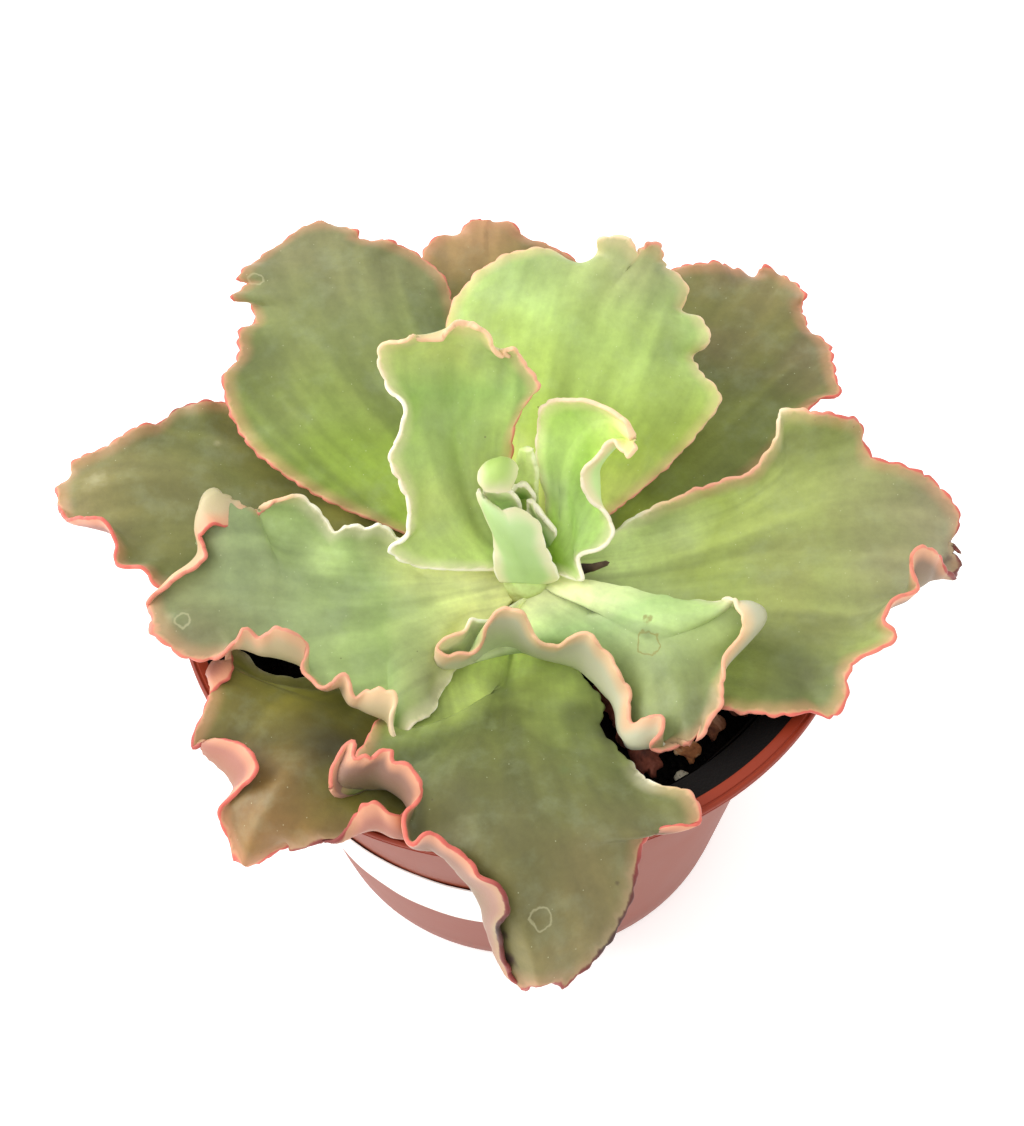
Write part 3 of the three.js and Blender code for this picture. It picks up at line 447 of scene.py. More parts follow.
# How each leaf looks: its flesh from root to tip, the blush that clouds it, its underside, the tint
# of its left and right margins, read evenly from root to tip, where -1 is plain flesh, 0 cream,
# 1 coral and 2 dry, and its marks as (kind, place in mm, radius in mm). Its broad soft marks are
# painted shade where the flesh lies in shadow and painted light where it is lit full
LOOKS = {
    "leaf_right": {
        "flesh": ["#DCF1A0", "#A0AF56", "#9AA45C", "#90876A"], "blush": "#84834B", "under": "#836B56",
        "tint": (
            (-1, -1, 0.2, 0.7, 0.6, 0.2, 1, 1.1, 1, 1, 1.7),
            (0.5, 0.5, 0.6, 0.7, 0.8, 1.1, 0.9, 0.9, 0.85, 0.8, 1.7),
        ),
        "marks": [
            ("deep", (57.5, -42.5, 109.5), 19),
            ("dim", (31, 2.5, 110), 7.5),
            ("dim", (53, -40.5, 109), 14.5),
            ("spot", (45.8, -2.3, 114.6), 0.4), ("spot", (62.5, -30.6, 110.8), 0.4),
            ("dry", (92.5, -14.5, 112), 4.0), ("dry", (66, -46, 111), 2.0),
        ],
    },
    "leaf_front_right": {
        "flesh": ["#F2F7B9", "#A9C67D", "#A2B36C", "#63653A"], "blush": "#818E61", "under": "#C6C4A6",
        "tint": (
            (-1, -1, -1, -1, -1, 0.1, 0.3, 0.5, 0.6, 0.75, 0.7),
            (-1, -0.5, 0.5, 0.6, 0.55, 0.45, 0.5, 0.55, 0.65, 0.75, 0.8),
        ),
        "marks": [
            ("light", (22.5, -37.5, 105.5), 6.5),
            ("cork", (27.2, -25.4, 112), 1.5), ("cork", (26.1, -30.6, 111.5), 2.4),
            ("bruise", (26.4, -28.5, 112), 2.0),
            ("bruise", (28.6, -37.9, 110.5), 4.0),
        ],
    },
    "leaf_left": {
        "flesh": ["#F4F7A6", "#9FB867", "#9CAC74", "#75734D"], "blush": "#798858", "under": "#C8B48C",
        "tint": (
            (-1, -1, -0.2, 0.1, 0.3, 0.6, 0.7, 0.7, 0.75, 0.9, 0.9),
            (-1, -1, -0.3, 0, 0.05, 0.05, 0.7, 1.1, 0.9, 0.8, 0.85),
        ),
        "marks": [
            ("deep", (-19.5, -34.5, 106.5), 12.5),
            ("pale", (-50.5, 0.5, 117), 8.5),
            ("pale", (-40, -4, 112.5), 9.5),
            ("light", (-25, -9, 109), 8.5),
            ("dim", (-58.5, -13, 117), 7.5),
            ("light", (-14, -8.5, 107), 9.5),
            ("pale", (-70.5, -14, 119), 7),
            ("dim", (-23.5, -26.5, 107.5), 9.5),
            ("light", (-30, -13.5, 109), 9),
            ("ring", (-70.1, -22.4, 115), 1.6), ("scar", (-73, -21.5, 115), 2.0),
        ],
    },
    "leaf_front": {
        "flesh": ["#D4EB7E", "#656F31", "#706B3F", "#837647"], "blush": "#595C2C", "under": "#987262",
        "tint": (
            (-1, -1, -1, -1, -0.9, 0.3, 1, 1.1, 1.8, 2, 1.4),
            (-1, -0.2, 0.8, 0.9, 0.9, 0.9, 0.95, 1, 1.15, 2, 1.2),
        ),
        "marks": [
            ("deep", (11.5, -42, 101.5), 12),
            ("dim", (-17.5, -38.5, 101.5), 8.5),
            ("pale", (-1, -26, 97), 9.5),
            ("light", (-7, -83, 114), 9.5),
            ("dim", (15.5, -50, 104), 8),
            ("light", (-19, -64, 110), 8),
            ("spot", (-2.6, -79.7, 112.8), 0.8), ("spot", (0.5, -81, 112), 0.4),
            ("spot", (16.7, -80.3, 104.3), 0.8),
            ("ring", (1.6, -88, 106.9), 2.0), ("bruise", (7.7, -57.8, 108.9), 2.0),
            ("dry", (-5.8, -89.6, 102.5), 1.6), ("dry", (-4.9, -92, 97.5), 2.6),
            ("dry", (19.2, -82.1, 101.6), 0.9), ("dry", (16.6, -85.9, 99.1), 1.0),
            ("dry", (12.9, -90.8, 96.6), 1.0),
        ],
    },
    "leaf_left_low": {
        "flesh": ["#9C9E49", "#8D8D45", "#6B6F32", "#887E4B"], "blush": "#737040", "under": "#93574D",
        "tint": (
            (0.5, 0.5, 0.7, 0.9, 1, 1),
            (0.5, 0.6, 0.7, 0.8, 0.8, 0.9, 0.9, 1.4, 0.9, 0.9, 1),
        ),
        "marks": [
            ("pale", (-38.5, 12.5, 104), 8.5),
            ("scar", (-67.1, 28.6, 110.5), 1.4), ("scar", (-93.5, 17.6, 112.6), 4.0),
        ],
    },
    "leaf_front_left": {
        "flesh": ["#B0AE40", "#9C9A3C", "#665B23", "#8C6637"], "blush": "#7A7727", "under": "#AB6F5F",
        "tint": (
            (-1, -1, -1, -1, -1, 0.5, 0.9, 0.95, 1.6, 1.3, 1),
            (-1, -1, -1, -1, -0.6, 0.9, 1, 1.3, 1, 1, 1),
        ),
        "marks": [
            ("deep", (-38, -48.5, 106), 11.5),
            ("dim", (-29, -61.5, 106.5), 7),
            ("dim", (-41, -45.5, 106), 13),
            ("spot", (-45, -40, 104), 0.4), ("spot", (-50, -50, 110), 0.4),
            ("dry", (-47.5, -69.7, 103.2), 0.9), ("dry", (-41.1, -70, 106.9), 1.2),
        ],
    },
    "leaf_back_left": {
        "flesh": ["#8AA437", "#819637", "#838C51", "#7D7951"], "blush": "#70773B", "under": "#D8C0A8",
        "tint": ((0.45, 0.7, 0.85, 0.95, 1, 1, 0.95), (0.4, 0.6, 0.8, 0.9, 0.95, 1, 0.9)),
        "marks": [
            ("light", (-27, 16.5, 111), 16),
            ("dim", (-56, 46, 120.5), 10.5),
            ("light", (-24, 7.5, 108), 9.5),
            ("ring", (-58.6, 67.6, 123.1), 1.6),
        ],
    },
    "leaf_back": {
        "flesh": ["#698F26", "#647C24", "#686E20", "#AA875B"], "blush": "#5F5C1D", "under": "#D8B8A0",
        "tint": ((1, 1), (1, 1)), "marks": [],
    },
    "leaf_back_right": {
        "flesh": ["#9EB648", "#8F9D48", "#6A6D30", "#8A7258"], "blush": "#6E732A", "under": "#D0B89C",
        "tint": ((0.7, 0.9, 1, 1), (0.6, 0.9, 1, 1)),
        "marks": [("pale", (27, 10, 101.5), 8)],
    },
    "leaf_upper_back": {
        "flesh": ["#D6DB79", "#AFC54D", "#AEC873", "#A6AD72"], "blush": "#99AE4E", "under": "#E0DCB8",
        "tint": ((0.4, 0.5, 0.6, 0.6, 0.6, 0.35, 0.3), (0.85, 0.8, 0.7, 0.45, 0.35, 0.35, 0.5, 0.75)),
        "marks": [("dim", (6.5, 57.5, 132.5), 11.5)],
    },
    "leaf_upper_left": {
        "flesh": ["#BED877", "#B8C871", "#9DBC62", "#D1D77C"], "blush": "#97B162", "under": "#9BB168",
        "tint": ((0.1, 0, 0, 0.2, 0.05, 0.45, 0.5), (0.3, 0.6, 0.85, 0.75, 0.6, 0.45, 0.45)), "marks": [],
    },
    "leaf_upper_right": {
        "flesh": ["#98C038", "#C0E084", "#B8DC68", "#E2EA90"], "blush": "#A8CC66", "under": "#D5F1A8",
        "tint": ((0.1, 0.1, 0.25, 0.4), (0, 0.05, 0.1, 0.25, 0.4)),
        "marks": [("dim", (7, 2.5, 120.5), 6.5)],
    },
}

# The same for the small leaves. The right bud looks like the back one
YOUNG_LOOKS = {
    "inner_front": {
        "flesh": ["#B8D488", "#A8CC78", "#98C064", "#A4C878"], "blush": "#90B468", "under": "#C4E09C",
        "tint": ((0, 0.05), (0, 0.05)), "marks": [],
    },
    # The fold's flesh is pale all over: painted light inside the fold's shade
    "inner_fold": {
        "flesh": ["#DCF8A8", "#DCF8A8", "#DCF8A8", "#DCF8A8"], "blush": "#C8EC90", "under": "#C4E09C",
        "tint": ((0, 0.05), (0, 0.05)), "marks": [],
    },
    "inner_hood": {
        "flesh": ["#7CA63A", "#78A43C", "#86B04C", "#A0C468"], "blush": "#6C9434", "under": "#AEC86C",
        "tint": ((0, 0.05), (0, 0.05)), "marks": [],
    },
    # The buds' flesh is painted dark: painted shade deep in the rosette; the right bud shares it
    "bud_back": {
        "flesh": ["#6C9632", "#74A238", "#80AC40", "#A0C858"], "blush": "#648C30", "under": "#A8C868",
        "tint": ((0, 0.05), (0, 0.05)), "marks": [],
    },
    "bud_left": {
        "flesh": ["#B8D46C", "#C0DA78", "#C8DE80", "#D0E48C"], "blush": "#B0CC64", "under": "#C8DC88",
        "tint": ((-1, -1), (-1, -0.5)), "marks": [],
    },
}

# A withered leaf's margins aren't tinted
DEAD_TINT = ((-1, -1), (-1, -1))

# Large soft patches of painted shade and painted light on the flesh, where other leaves shade it or the
# light falls full on it, and how many times as bright as the rest the flesh is in their middle
PAINTED_SHADE_AND_LIGHT = {"deep": 0.42, "dim": 0.68, "light": 1.3, "pale": 1.75}

# Colours of a margin by its tint
TINTS = (
    (-1, "#FFFBE2"), (0, "#FFFBE2"), (0.4, "#EFCB9C"), (0.7, "#E59C80"), (1, "#D9695A"), (1.4, "#8E3A34"),
    (2, "#3A241C"),
)

SLOT_OF_LEAF = {
    "leaf_right": "leaf_mid", "leaf_front_right": "leaf_mid", "leaf_left": "leaf_mid",
    "leaf_front": "leaf_mid",
    "leaf_left_low": "leaf_old", "leaf_front_left": "leaf_old", "leaf_back_left": "leaf_old",
    "leaf_back": "leaf_old", "leaf_back_right": "leaf_old", "leaf_upper_back": "leaf_young",
    "leaf_upper_left": "leaf_young", "leaf_upper_right": "leaf_young"
}

# Depth in mm of the crease along each leaf's midrib, and how strongly its edge is crimped
CREASE = {
    "leaf_front_right": 0.1, "leaf_right": 1.0, "leaf_front": 1.6, "leaf_left": 0.8, "leaf_upper_left": 1.6,
    "leaf_upper_back": 0.6,
}
CRIMP = {
    "leaf_back_left": 0.85, "leaf_back": 0.7, "leaf_upper_back": 0.75, "leaf_upper_left": 0.7,
    "leaf_upper_right": 0.5, "leaf_front_left": 0.5, "leaf_left_low": 0.6, "leaf_left": 0.75,
    "leaf_front": 0.65, "leaf_right": 0.8, "leaf_front_right": 0.6,
}


# Colours

def linear(hex_colour):
    """An sRGB hex colour as linear red, green, blue and alpha."""
    values = [int(hex_colour[k:k + 2], 16) / 255 for k in (1, 3, 5)]
    return [v / 12.92 if v <= 0.04045 else ((v + 0.055) / 1.055) ** 2.4 for v in values] + [1.0]


# Settings

def colour_setting(name, description, hex_colour):
    """A colour that a user can change."""
    return bpy.props.FloatVectorProperty(
        name=name, description=description, subtype="COLOR", size=4, min=0, max=1,
        default=linear(hex_colour),
    )


def length_setting(name, description, millimetres):
    """A length that a user can change."""
    return bpy.props.FloatProperty(
        name=name, description=description, subtype="DISTANCE", unit="LENGTH", min=0, precision=5,
        default=millimetres * MM,
    )


class LeafSettings(bpy.types.PropertyGroup):
    """Sizes and colours that all the leaves share."""

    crimp_height: length_setting(
        "Crimp height", "How far the edge waves up and down between its large folds", 0.6,
    )
    crimp_length: length_setting("Crimp length", "Length of half a small wave along the edge", 4)
    tooth_height: length_setting("Tooth height", "How far the small lobes of the edge stand out", 1.1)
    edge_radius: length_setting("Edge radius", "Rounding of the blade's edge", 0.45)
    rib_thickness: length_setting("Rib thickness", "Thickness of the blade along its midrib", 3)
    margin_thickness: length_setting("Margin thickness", "Thickness of the blade at its edge", 0.9)
    margin_width: length_setting("Margin width", "Width of the coloured line along the edge", 0.75)
    dry_colour: colour_setting("Dry tissue", "Colour of dead spots and edges", "#3A241C")
    scar_colour: colour_setting("Scar", "Colour of healed, corky marks", "#C9C49A")
    bloom_colour: colour_setting("Bloom", "Colour of the powdery wax on the flesh", "#B9C8A4")
    rows: bpy.props.IntProperty(
        name="Rows", description="Rows of faces along a large leaf", min=20, max=300, default=230,
    )
    columns: bpy.props.IntProperty(
        name="Columns", description="Columns of faces from the midrib to an edge", min=6, max=40,
        default=22,
    )


class PotSettings(bpy.types.PropertyGroup):
    """Sizes and colours of the pot and its label."""

    height: length_setting("Height", "Height of the pot", POT_HEIGHT)
    lip_radius: length_setting("Lip radius", "Radius of the lip's outer edge", LIP_RADIUS)
    hole_radius: length_setting("Hole radius", "Radius of a drain hole", 5)
    hole_ring: length_setting("Hole ring", "Radius of the ring of drain holes", 34)
    holes: bpy.props.IntProperty(
        name="Holes", description="Number of drain holes", min=0, max=12, default=6,
    )
    # One plastic: the lip's colour holds painted shade and the wall's colour painted light
    shaded_lip_colour: colour_setting("Lip", "Plastic of the lip", "#8B321B")
    lit_wall_colour: colour_setting("Wall", "Plastic of the wall, paler where it is thin", "#843C26")
    paper_colour: colour_setting("Label", "Bare paper of the label", "#FBFAF8")


class SoilSettings(bpy.types.PropertyGroup):
    """Sizes and colours of the soil."""

    grain_smallest: length_setting("Smallest grain", "Radius of the smallest soil crumb", 0.4)
    grain_largest: length_setting("Largest grain", "Radius of the largest soil crumb", 1.5)
    grains: bpy.props.FloatProperty(
        name="Grains", description="Soil crumbs in a square metre", min=0, max=1e6, default=2.6e5,
    )
    seed: bpy.props.IntProperty(name="Seed", description="Seed of the scattered crumbs", min=0, default=7)
    soil_colour: colour_setting("Soil", "Damp peat", "#0B0908")
    crumb_colour: colour_setting("Crumbs", "Drier crumbs and bark", "#1A1410")
    granule_colour: colour_setting("Granule", "Pale mineral granule", "#D8CFB8")


class StageSettings(bpy.types.PropertyGroup):
    """Floor and lights."""

    floor_colour: colour_setting("Floor", "Plain pale floor", "#F7F6F4")
    key_power: bpy.props.FloatProperty(
        name="Key light", description="Power of the large softbox", subtype="POWER", unit="POWER", min=0,
        default=9,
    )
    sky_strength: bpy.props.FloatProperty(
        name="Sky", description="Strength of the even white surroundings", min=0, default=1.08,
    )


# Meshes

def soft_noise(x, y, seed):
    """Smooth random values from -1 to 1 on a plane, from one value at each corner of a unit grid."""
    table = np.random.default_rng(seed).uniform(-1, 1, (64, 64))
    cell_x, cell_y = np.floor(x).astype(int), np.floor(y).astype(int)
    fx, fy = x - cell_x, y - cell_y
    fx, fy = fx * fx * (3 - 2 * fx), fy * fy * (3 - 2 * fy)
    near = table[cell_x % 64, cell_y % 64] * (1 - fx) + table[(cell_x + 1) % 64, cell_y % 64] * fx
    far = table[cell_x % 64, (cell_y + 1) % 64] * (1 - fx) + table[
        (cell_x + 1) % 64, (cell_y + 1) % 64,
    ] * fx
    return near * (1 - fy) + far * fy


def smooth_step(low, high, value):
    """0 below low, 1 above high, and an even bend between."""
    t = np.clip((value - low) / (high - low), 0, 1)
    return t * t * (3 - 2 * t)


def new_object(name, vertices, faces, material, smooth=True):
    """A mesh object at the origin, with its place in its vertices, given in metres."""
    mesh = bpy.data.meshes.new(name)
    mesh.from_pydata(np.asarray(vertices).tolist(), [], faces)
    mesh.validate()
    if smooth:
        mesh.shade_smooth()
    else:
        mesh.shade_flat()
    mesh.materials.append(material)
    made = bpy.data.objects.new(name, mesh)
    bpy.context.scene.collection.objects.link(made)
    return made


def point_value(piece, name, values):
    """Stores a number for each vertex, which the material reads by name."""
    attribute = piece.data.attributes.new(name, "FLOAT", "POINT")
    attribute.data.foreach_set("value", np.asarray(values, dtype=np.float32).ravel())


def finished(piece, slot, *nodes):
    """Puts a piece on the part: on the root and in place of its nodes, which it hides. Its slot is not
    used.
    """
    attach(piece, "root")
    if nodes:
        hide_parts(*nodes)
    return piece


def baked(source, name):
    """The evaluated shape of an object with live modifiers, as a plain mesh object in its place."""
    graph = bpy.context.evaluated_depsgraph_get()
    mesh = bpy.data.meshes.new_from_object(source.evaluated_get(graph), depsgraph=graph)
    mesh.name = name
    made = bpy.data.objects.new(name, mesh)
    bpy.context.scene.collection.objects.link(made)
    bpy.data.objects.remove(source)
    return made


def turned(profile, segments):
    """Vertices and faces of a closed profile of (radius, height) turned about +Z, poles closed."""
    vertices, rings = [], []
    for radius, height in profile:
        if radius == 0:
            rings.append([len(vertices)] * segments)
            vertices.append((0, 0, height))
            continue
        rings.append(list(range(len(vertices), len(vertices) + segments)))
        for k in range(segments):
            angle = 2 * math.pi * k / segments
            vertices.append((radius * math.cos(angle), radius * math.sin(angle), height))
    faces = []
    for low, high in zip(rings, rings[1:]):
        for k in range(segments):
            n = (k + 1) % segments
            corners = [low[k], low[n], high[n], high[k]]
            faces.append(list(dict.fromkeys(corners)))
    return np.array(vertices, float), [f for f in faces if len(f) > 2]


# Leaf blades

def bend(start, end, leave, reach, t):
    """A cubic from start to end with its directions there, at shares t."""
    step = end - start
    return start + leave * t + (3 * step - 2 * leave - reach) * t**2 + (leave + reach - 2 * step) * t**3


class Guide:
    """A smooth curve through given points, read at even distances along it, in millimetres."""

    def __init__(self, points):
        p = np.array(points, float)
        p = np.vstack([2 * p[0] - p[1], p, 2 * p[-1] - p[-2]])
        gap = np.sqrt(np.linalg.norm(np.diff(p, axis=0), axis=1))
        t = np.linspace(0, 1, 24, endpoint=False)[:, None]
        pieces = []
        for k in range(1, len(p) - 2):
            a, b, c = gap[k - 1], gap[k], gap[k + 1]
            leave = b * ((p[k] - p[k - 1]) / a - (p[k + 1] - p[k - 1]) / (a + b) + (p[k + 1] - p[k]) / b)
            reach = b * ((p[k + 1] - p[k]) / b - (p[k + 2] - p[k]) / (b + c) + (p[k + 2] - p[k + 1]) / c)
            pieces.append(bend(p[k], p[k + 1], leave, reach, t))
        self.samples = np.vstack([*pieces, p[-2]])
        self.travel = np.append(0, np.cumsum(np.linalg.norm(np.diff(self.samples, axis=0), axis=1)))
        self.length = self.travel[-1]

    def at(self, u):
        """The points at shares u of the curve's length."""
        where = np.clip(u, 0, 1) * self.length
        return np.stack([np.interp(where, self.travel, self.samples[:, k]) for k in range(3)], axis=-1)

    def along(self, u):
        """The unit tangents there."""
        way = self.at(np.minimum(u + 0.004, 1)) - self.at(np.maximum(u - 0.004, 0))
        return way / np.linalg.norm(way, axis=-1, keepdims=True)

    def average(self, u, reach):
        """The mean of nearby points, which evens out the waves of a margin but keeps its ends."""
        reach = np.minimum(reach, np.minimum(u, 1 - u))
        return sum(self.at(u + reach * k / 4) for k in range(-4, 5)) / 9


def plain_fold(rib, left, right, side, u):
    """The fold of a side that has none of its own: part of the way out, and a little raised."""
    across = right.average(u, 0.12) - left.average(u, 0.12)
    normal = np.cross(across, rib.along(u))
    normal /= np.linalg.norm(normal, axis=1, keepdims=True)
    reach = (left if side == "left" else right).average(u, 0.12) - rib.at(u)
    lift = (reach * normal).sum(axis=1, keepdims=True)
    return rib.at(u) + 0.6 * (reach - lift * normal) + 0.25 * lift * normal


def fold_stations(fold, margin, coarse_rows, u):
    """How far along its guide the fold lies nearest to the margin, evened out between rows."""
    rows = np.linspace(0, 1, coarse_rows + 1)
    nearest = []
    for row in rows:
        tries = np.clip(row + 0.14 * np.linspace(-1, 1, 29), 0, 1)
        cost = np.linalg.norm(fold.at(tries) - margin.at(np.array([row])), axis=1) * (1 + abs(tries - row))
        nearest.append(tries[cost.argmin()])
    even = [np.mean(nearest[max(k - 2, 0):k + 3]) for k in range(len(rows))]
    even[0], even[-1] = 0, 1
    return np.interp(u, rows, even)


def evened(points, keep, turns):
    """Evens out the rows of a grid of points, but for the share to keep of each."""
    for _ in range(turns):
        mean = (points[:-2] + 2 * points[1:-1] + points[2:]) / 4
        points[1:-1] += (1 - keep) * (mean - points[1:-1])
    return points


def crimps(run, wave_length, seed):
    """Waves of an edge along its run in mm, from -1 to 1, unevenly long and high."""
    turn = run / wave_length + 0.5 * soft_noise(run / (2.2 * wave_length) + 7, 0 * run + 3.5, seed)
    height = 0.65 + 0.35 * soft_noise(run / (1.7 * wave_length) + 31, 0 * run + 8.5, seed)
    return height * np.sin(np.pi * turn)


def half_blade(guides, side, coarse_rows, u, columns):
    """One side of a blade's middle surface, from the rib out, with columns closer towards the margin."""
    rib = guides["rib"].at(u)[:, None]
    margin = guides[side].average(u, 0.07)[:, None]
    ripple = guides[side].at(u)[:, None] - margin
    own = guides.get(side + "_fold")
    if own:
        fold = own.at(fold_stations(own, guides[side], coarse_rows, u))[:, None]
    else:
        fold = plain_fold(guides["rib"], guides["left"], guides["right"], side, u)[:, None]
    inner = np.sqrt(np.linalg.norm(fold - rib, axis=2, keepdims=True))
    outer = np.sqrt(np.linalg.norm(margin - fold, axis=2, keepdims=True))
    f = np.clip(inner / (inner + outer), 0.3, 0.8)
    over_fold = (fold - rib) * (1 - f) / f + (margin - fold) * f / (1 - f)
    off_rib = 1.5 * (fold - rib) - 0.5 * f * over_fold
    to_margin = 1.5 * (margin - fold) - 0.5 * (1 - f) * over_fold
    steps = 12
    t = np.linspace(0, 1, steps + 1)[None, :, None]
    fine = np.concatenate([
        bend(rib, fold, off_rib, f * over_fold, t[:, :-1]),
        bend(fold, margin, (1 - f) * over_fold, to_margin, t),
    ], axis=1)
    hops = np.linalg.norm(np.diff(fine, axis=1), axis=2)
    travel = np.concatenate([np.zeros((len(u), 1)), np.cumsum(hops, axis=1)], axis=1)
    s = 1 - (1 - np.linspace(0, 1, columns + 1)) ** 1.6
    points = np.array([
        [np.interp(s * way[-1], way, row[:, k]) for k in range(3)] for way, row in zip(travel, fine)
    ]).transpose(0, 2, 1)
    f = (travel[:, steps] / travel[:, -1])[:, None, None]
    s = s[None, :, None]
    points = points + ripple * np.clip((s - 0.6 * f) / (1 - 0.6 * f), 0, 1) ** 1.7
    return evened(points, s**3, 24), s


def surface_normals(points):
    """Unit normals of a grid of points, up from the upper face."""
    across, along = np.gradient(points, axis=1), np.gradient(points, axis=0)
    normal = np.cross(across, along)
    return normal / np.maximum(np.linalg.norm(normal, axis=2, keepdims=True), 1e-9)


def blade(
    name, spec, material, settings, rows, columns, seed, tint,
    crimp=1.0, crease=0.3, rumple=0.35, finer=1.0,
):
    """A leaf blade with a rounded, crimped edge. Returns its object. A finer one has narrower tints."""
    guides = {key: Guide(points) for key, points in spec.items()}
    u = np.linspace(0, 1, rows + 1)
    coarse = max(8, round(rows / 5))
    left, out = half_blade(guides, "left", coarse, u, columns)
    right, _ = half_blade(guides, "right", coarse, u, columns)
    middle = np.concatenate([left[:, :0:-1], right], axis=1)
    out = np.concatenate([out[0, :0:-1, 0], out[0, :, 0]])
    side = np.concatenate([-np.ones(columns), np.ones(columns + 1)])

    # Distances in mm over the blade: in from the margin, across from the rib, and back from the tip
    hops = np.linalg.norm(np.diff(middle, axis=1), axis=2)
    from_left = np.concatenate([np.zeros((rows + 1, 1)), np.cumsum(hops, axis=1)], axis=1)
    from_edge = np.where(side < 0, from_left, from_left[:, -1:] - from_left)
    from_rib = from_left - from_left[:, columns:columns + 1]
    from_tip = ((1 - u) * guides["rib"].length)[:, None] + 0 * from_edge
    edge = np.minimum(from_edge, from_tip)
    inward = ((from_edge + 0.01) ** -4 + (from_tip + 0.01) ** -4) ** -0.25

    # The run of the outline: up the left margin, over the tip and down the right margin
    tip_width = from_left[-1, -1]
    up_left, up_right = guides["left"].length, guides["right"].length
    beside = np.where(side < 0, up_left * u[:, None], up_left + tip_width + up_right * (1 - u)[:, None])
    over_tip = up_left + tip_width * from_left / from_left[:, -1:]
    at_tip = (from_edge + 0.3) ** 2 / ((from_edge + 0.3) ** 2 + (from_tip + 0.3) ** 2)

    # The small waves and teeth of the edge, and the gentle unevenness of the whole blade
    normal = surface_normals(middle)
    wave_length = settings.crimp_length / MM
    grown = smooth_step(0.04, 0.3, u)[:, None]
    wave = crimps(beside, wave_length, seed) * (1 - at_tip) + crimps(over_tip, wave_length, seed) * at_tip
    lift = settings.crimp_height / MM * crimp * wave * np.exp(-inward / 4) * grown
    lift += rumple * soft_noise(from_rib / 13 + 20, beside / 17, seed + 2) * smooth_step(0, 6, inward)
    outward = np.gradient(middle, axis=1) * side[None, :, None]
    outward /= np.maximum(np.linalg.norm(outward, axis=2, keepdims=True), 1e-9)
    onward = np.gradient(middle, axis=0)
    onward /= np.maximum(np.linalg.norm(onward, axis=2, keepdims=True), 1e-9)
    outward = outward * (1 - at_tip)[..., None] + onward * at_tip[..., None]
    lobes = (abs(wave) ** 0.7 - 0.45) * settings.tooth_height / MM
    nicks = 0.25 * settings.tooth_height / MM
    lobes += nicks * soft_noise(beside / 1.1, 0 * beside + 3, seed + 4) * (1 - at_tip)
    lobes += nicks * soft_noise(over_tip / 1.1, 0 * beside + 3, seed + 4) * at_tip
    lobes = lobes * crimp * np.exp(-inward / 2.2) * grown
    middle = middle + lift[..., None] * normal + lobes[..., None] * outward

    # Both faces, which meet in a round edge
    normal = surface_normals(middle)
    full = settings.rib_thickness / MM * (1 - 0.35 * u)[:, None]
    full = full + (settings.margin_thickness / MM - full) * (out**1.2)[None]
    radius = settings.edge_radius / MM
    near = np.clip(edge / radius, 0, 1)
    half = 0.5 * full * np.sqrt(1 - (1 - near) ** 2)
    groove = crease * np.exp(-(from_rib / 2.6) ** 2) * smooth_step(0.02, 0.2, u)[:, None]
    groove = groove * (1 - smooth_step(0.75, 1, u)[:, None])
    top = middle + (half - groove)[..., None] * normal
    bottom = middle - (half + 0.6 * groove)[..., None] * normal
    inner_rows, inner_columns = slice(1, -1), slice(1, -1)
    width = 2 * columns + 1
    upper = np.arange((rows + 1) * width).reshape(rows + 1, width)
    lower = upper.copy()
    inner_count = (rows - 1) * (width - 2)
    lower[inner_rows, inner_columns] = upper.size + np.arange(inner_count).reshape(rows - 1, width - 2)
    top[0], top[-1], top[:, 0], top[:, -1] = middle[0], middle[-1], middle[:, 0], middle[:, -1]
    vertices = np.vstack([top.reshape(-1, 3), bottom[inner_rows, inner_columns].reshape(-1, 3)]) * MM

    def quads(index, flip):
        a, b = index[:-1, :-1].ravel(), index[:-1, 1:].ravel()
        c, d = index[1:, 1:].ravel(), index[1:, :-1].ravel()
        return np.stack([a, d, c, b] if flip else [a, b, c, d], axis=1).tolist()

    piece = new_object(name, vertices, quads(upper, False) + quads(lower, True), material)

    def both(values):
        return np.append(values.ravel(), values[inner_rows, inner_columns].ravel())

    point_value(piece, "edge_mm", both(inward * finer))
    point_value(piece, "lobe", both(abs(wave)))
    point_value(piece, "run_mm", both(beside * (1 - at_tip) + over_tip * at_tip))
    point_value(piece, "tint", both(margin_tint(tint, u, side, from_left / from_left[:, -1:], at_tip)))
    point_value(piece, "along", both(u[:, None] + 0 * edge))
    point_value(piece, "across_mm", both(from_rib))
    under = np.append(np.zeros(upper.size), np.ones(inner_count))
    point_value(piece, "underside", under)
    lay_out(piece, rows, width, upper.size)
    return piece


def margin_tint(tint, u, side, share, at_tip):
    """How the edge is tinted over a blade, from its values read evenly up the left and right margins:
    -1 is plain flesh, 0 cream, 1 coral and 2 dry."""
    left, right = (np.interp(u, np.linspace(0, 1, len(values)), values)[:, None] for values in tint)
    beside = np.where(side < 0, left, right)
    return beside * (1 - at_tip) + (left[-1] * (1 - share) + right[-1] * share) * at_tip


def lay_out(piece, rows, width, upper_count):
    """The blade's UV map: the upper face on the left half and the underside on the right."""
    layer = piece.data.uv_layers.new(name="blade")
    corner = np.zeros(len(piece.data.loops), np.int32)
    piece.data.loops.foreach_get("vertex_index", corner)
    row, column = corner // width, corner % width
    inner = corner - upper_count
    low = corner >= upper_count
    row[low] = inner[low] // (width - 2) + 1
    column[low] = inner[low] % (width - 2) + 1
    faces_above = rows * (width - 1)
    under = np.arange(len(corner)) >= 4 * faces_above
    u = 0.49 * column / (width - 1) + 0.505 * under
    layer.data.foreach_set("uv", np.stack([u, row / rows], axis=1).astype(np.float32).ravel())


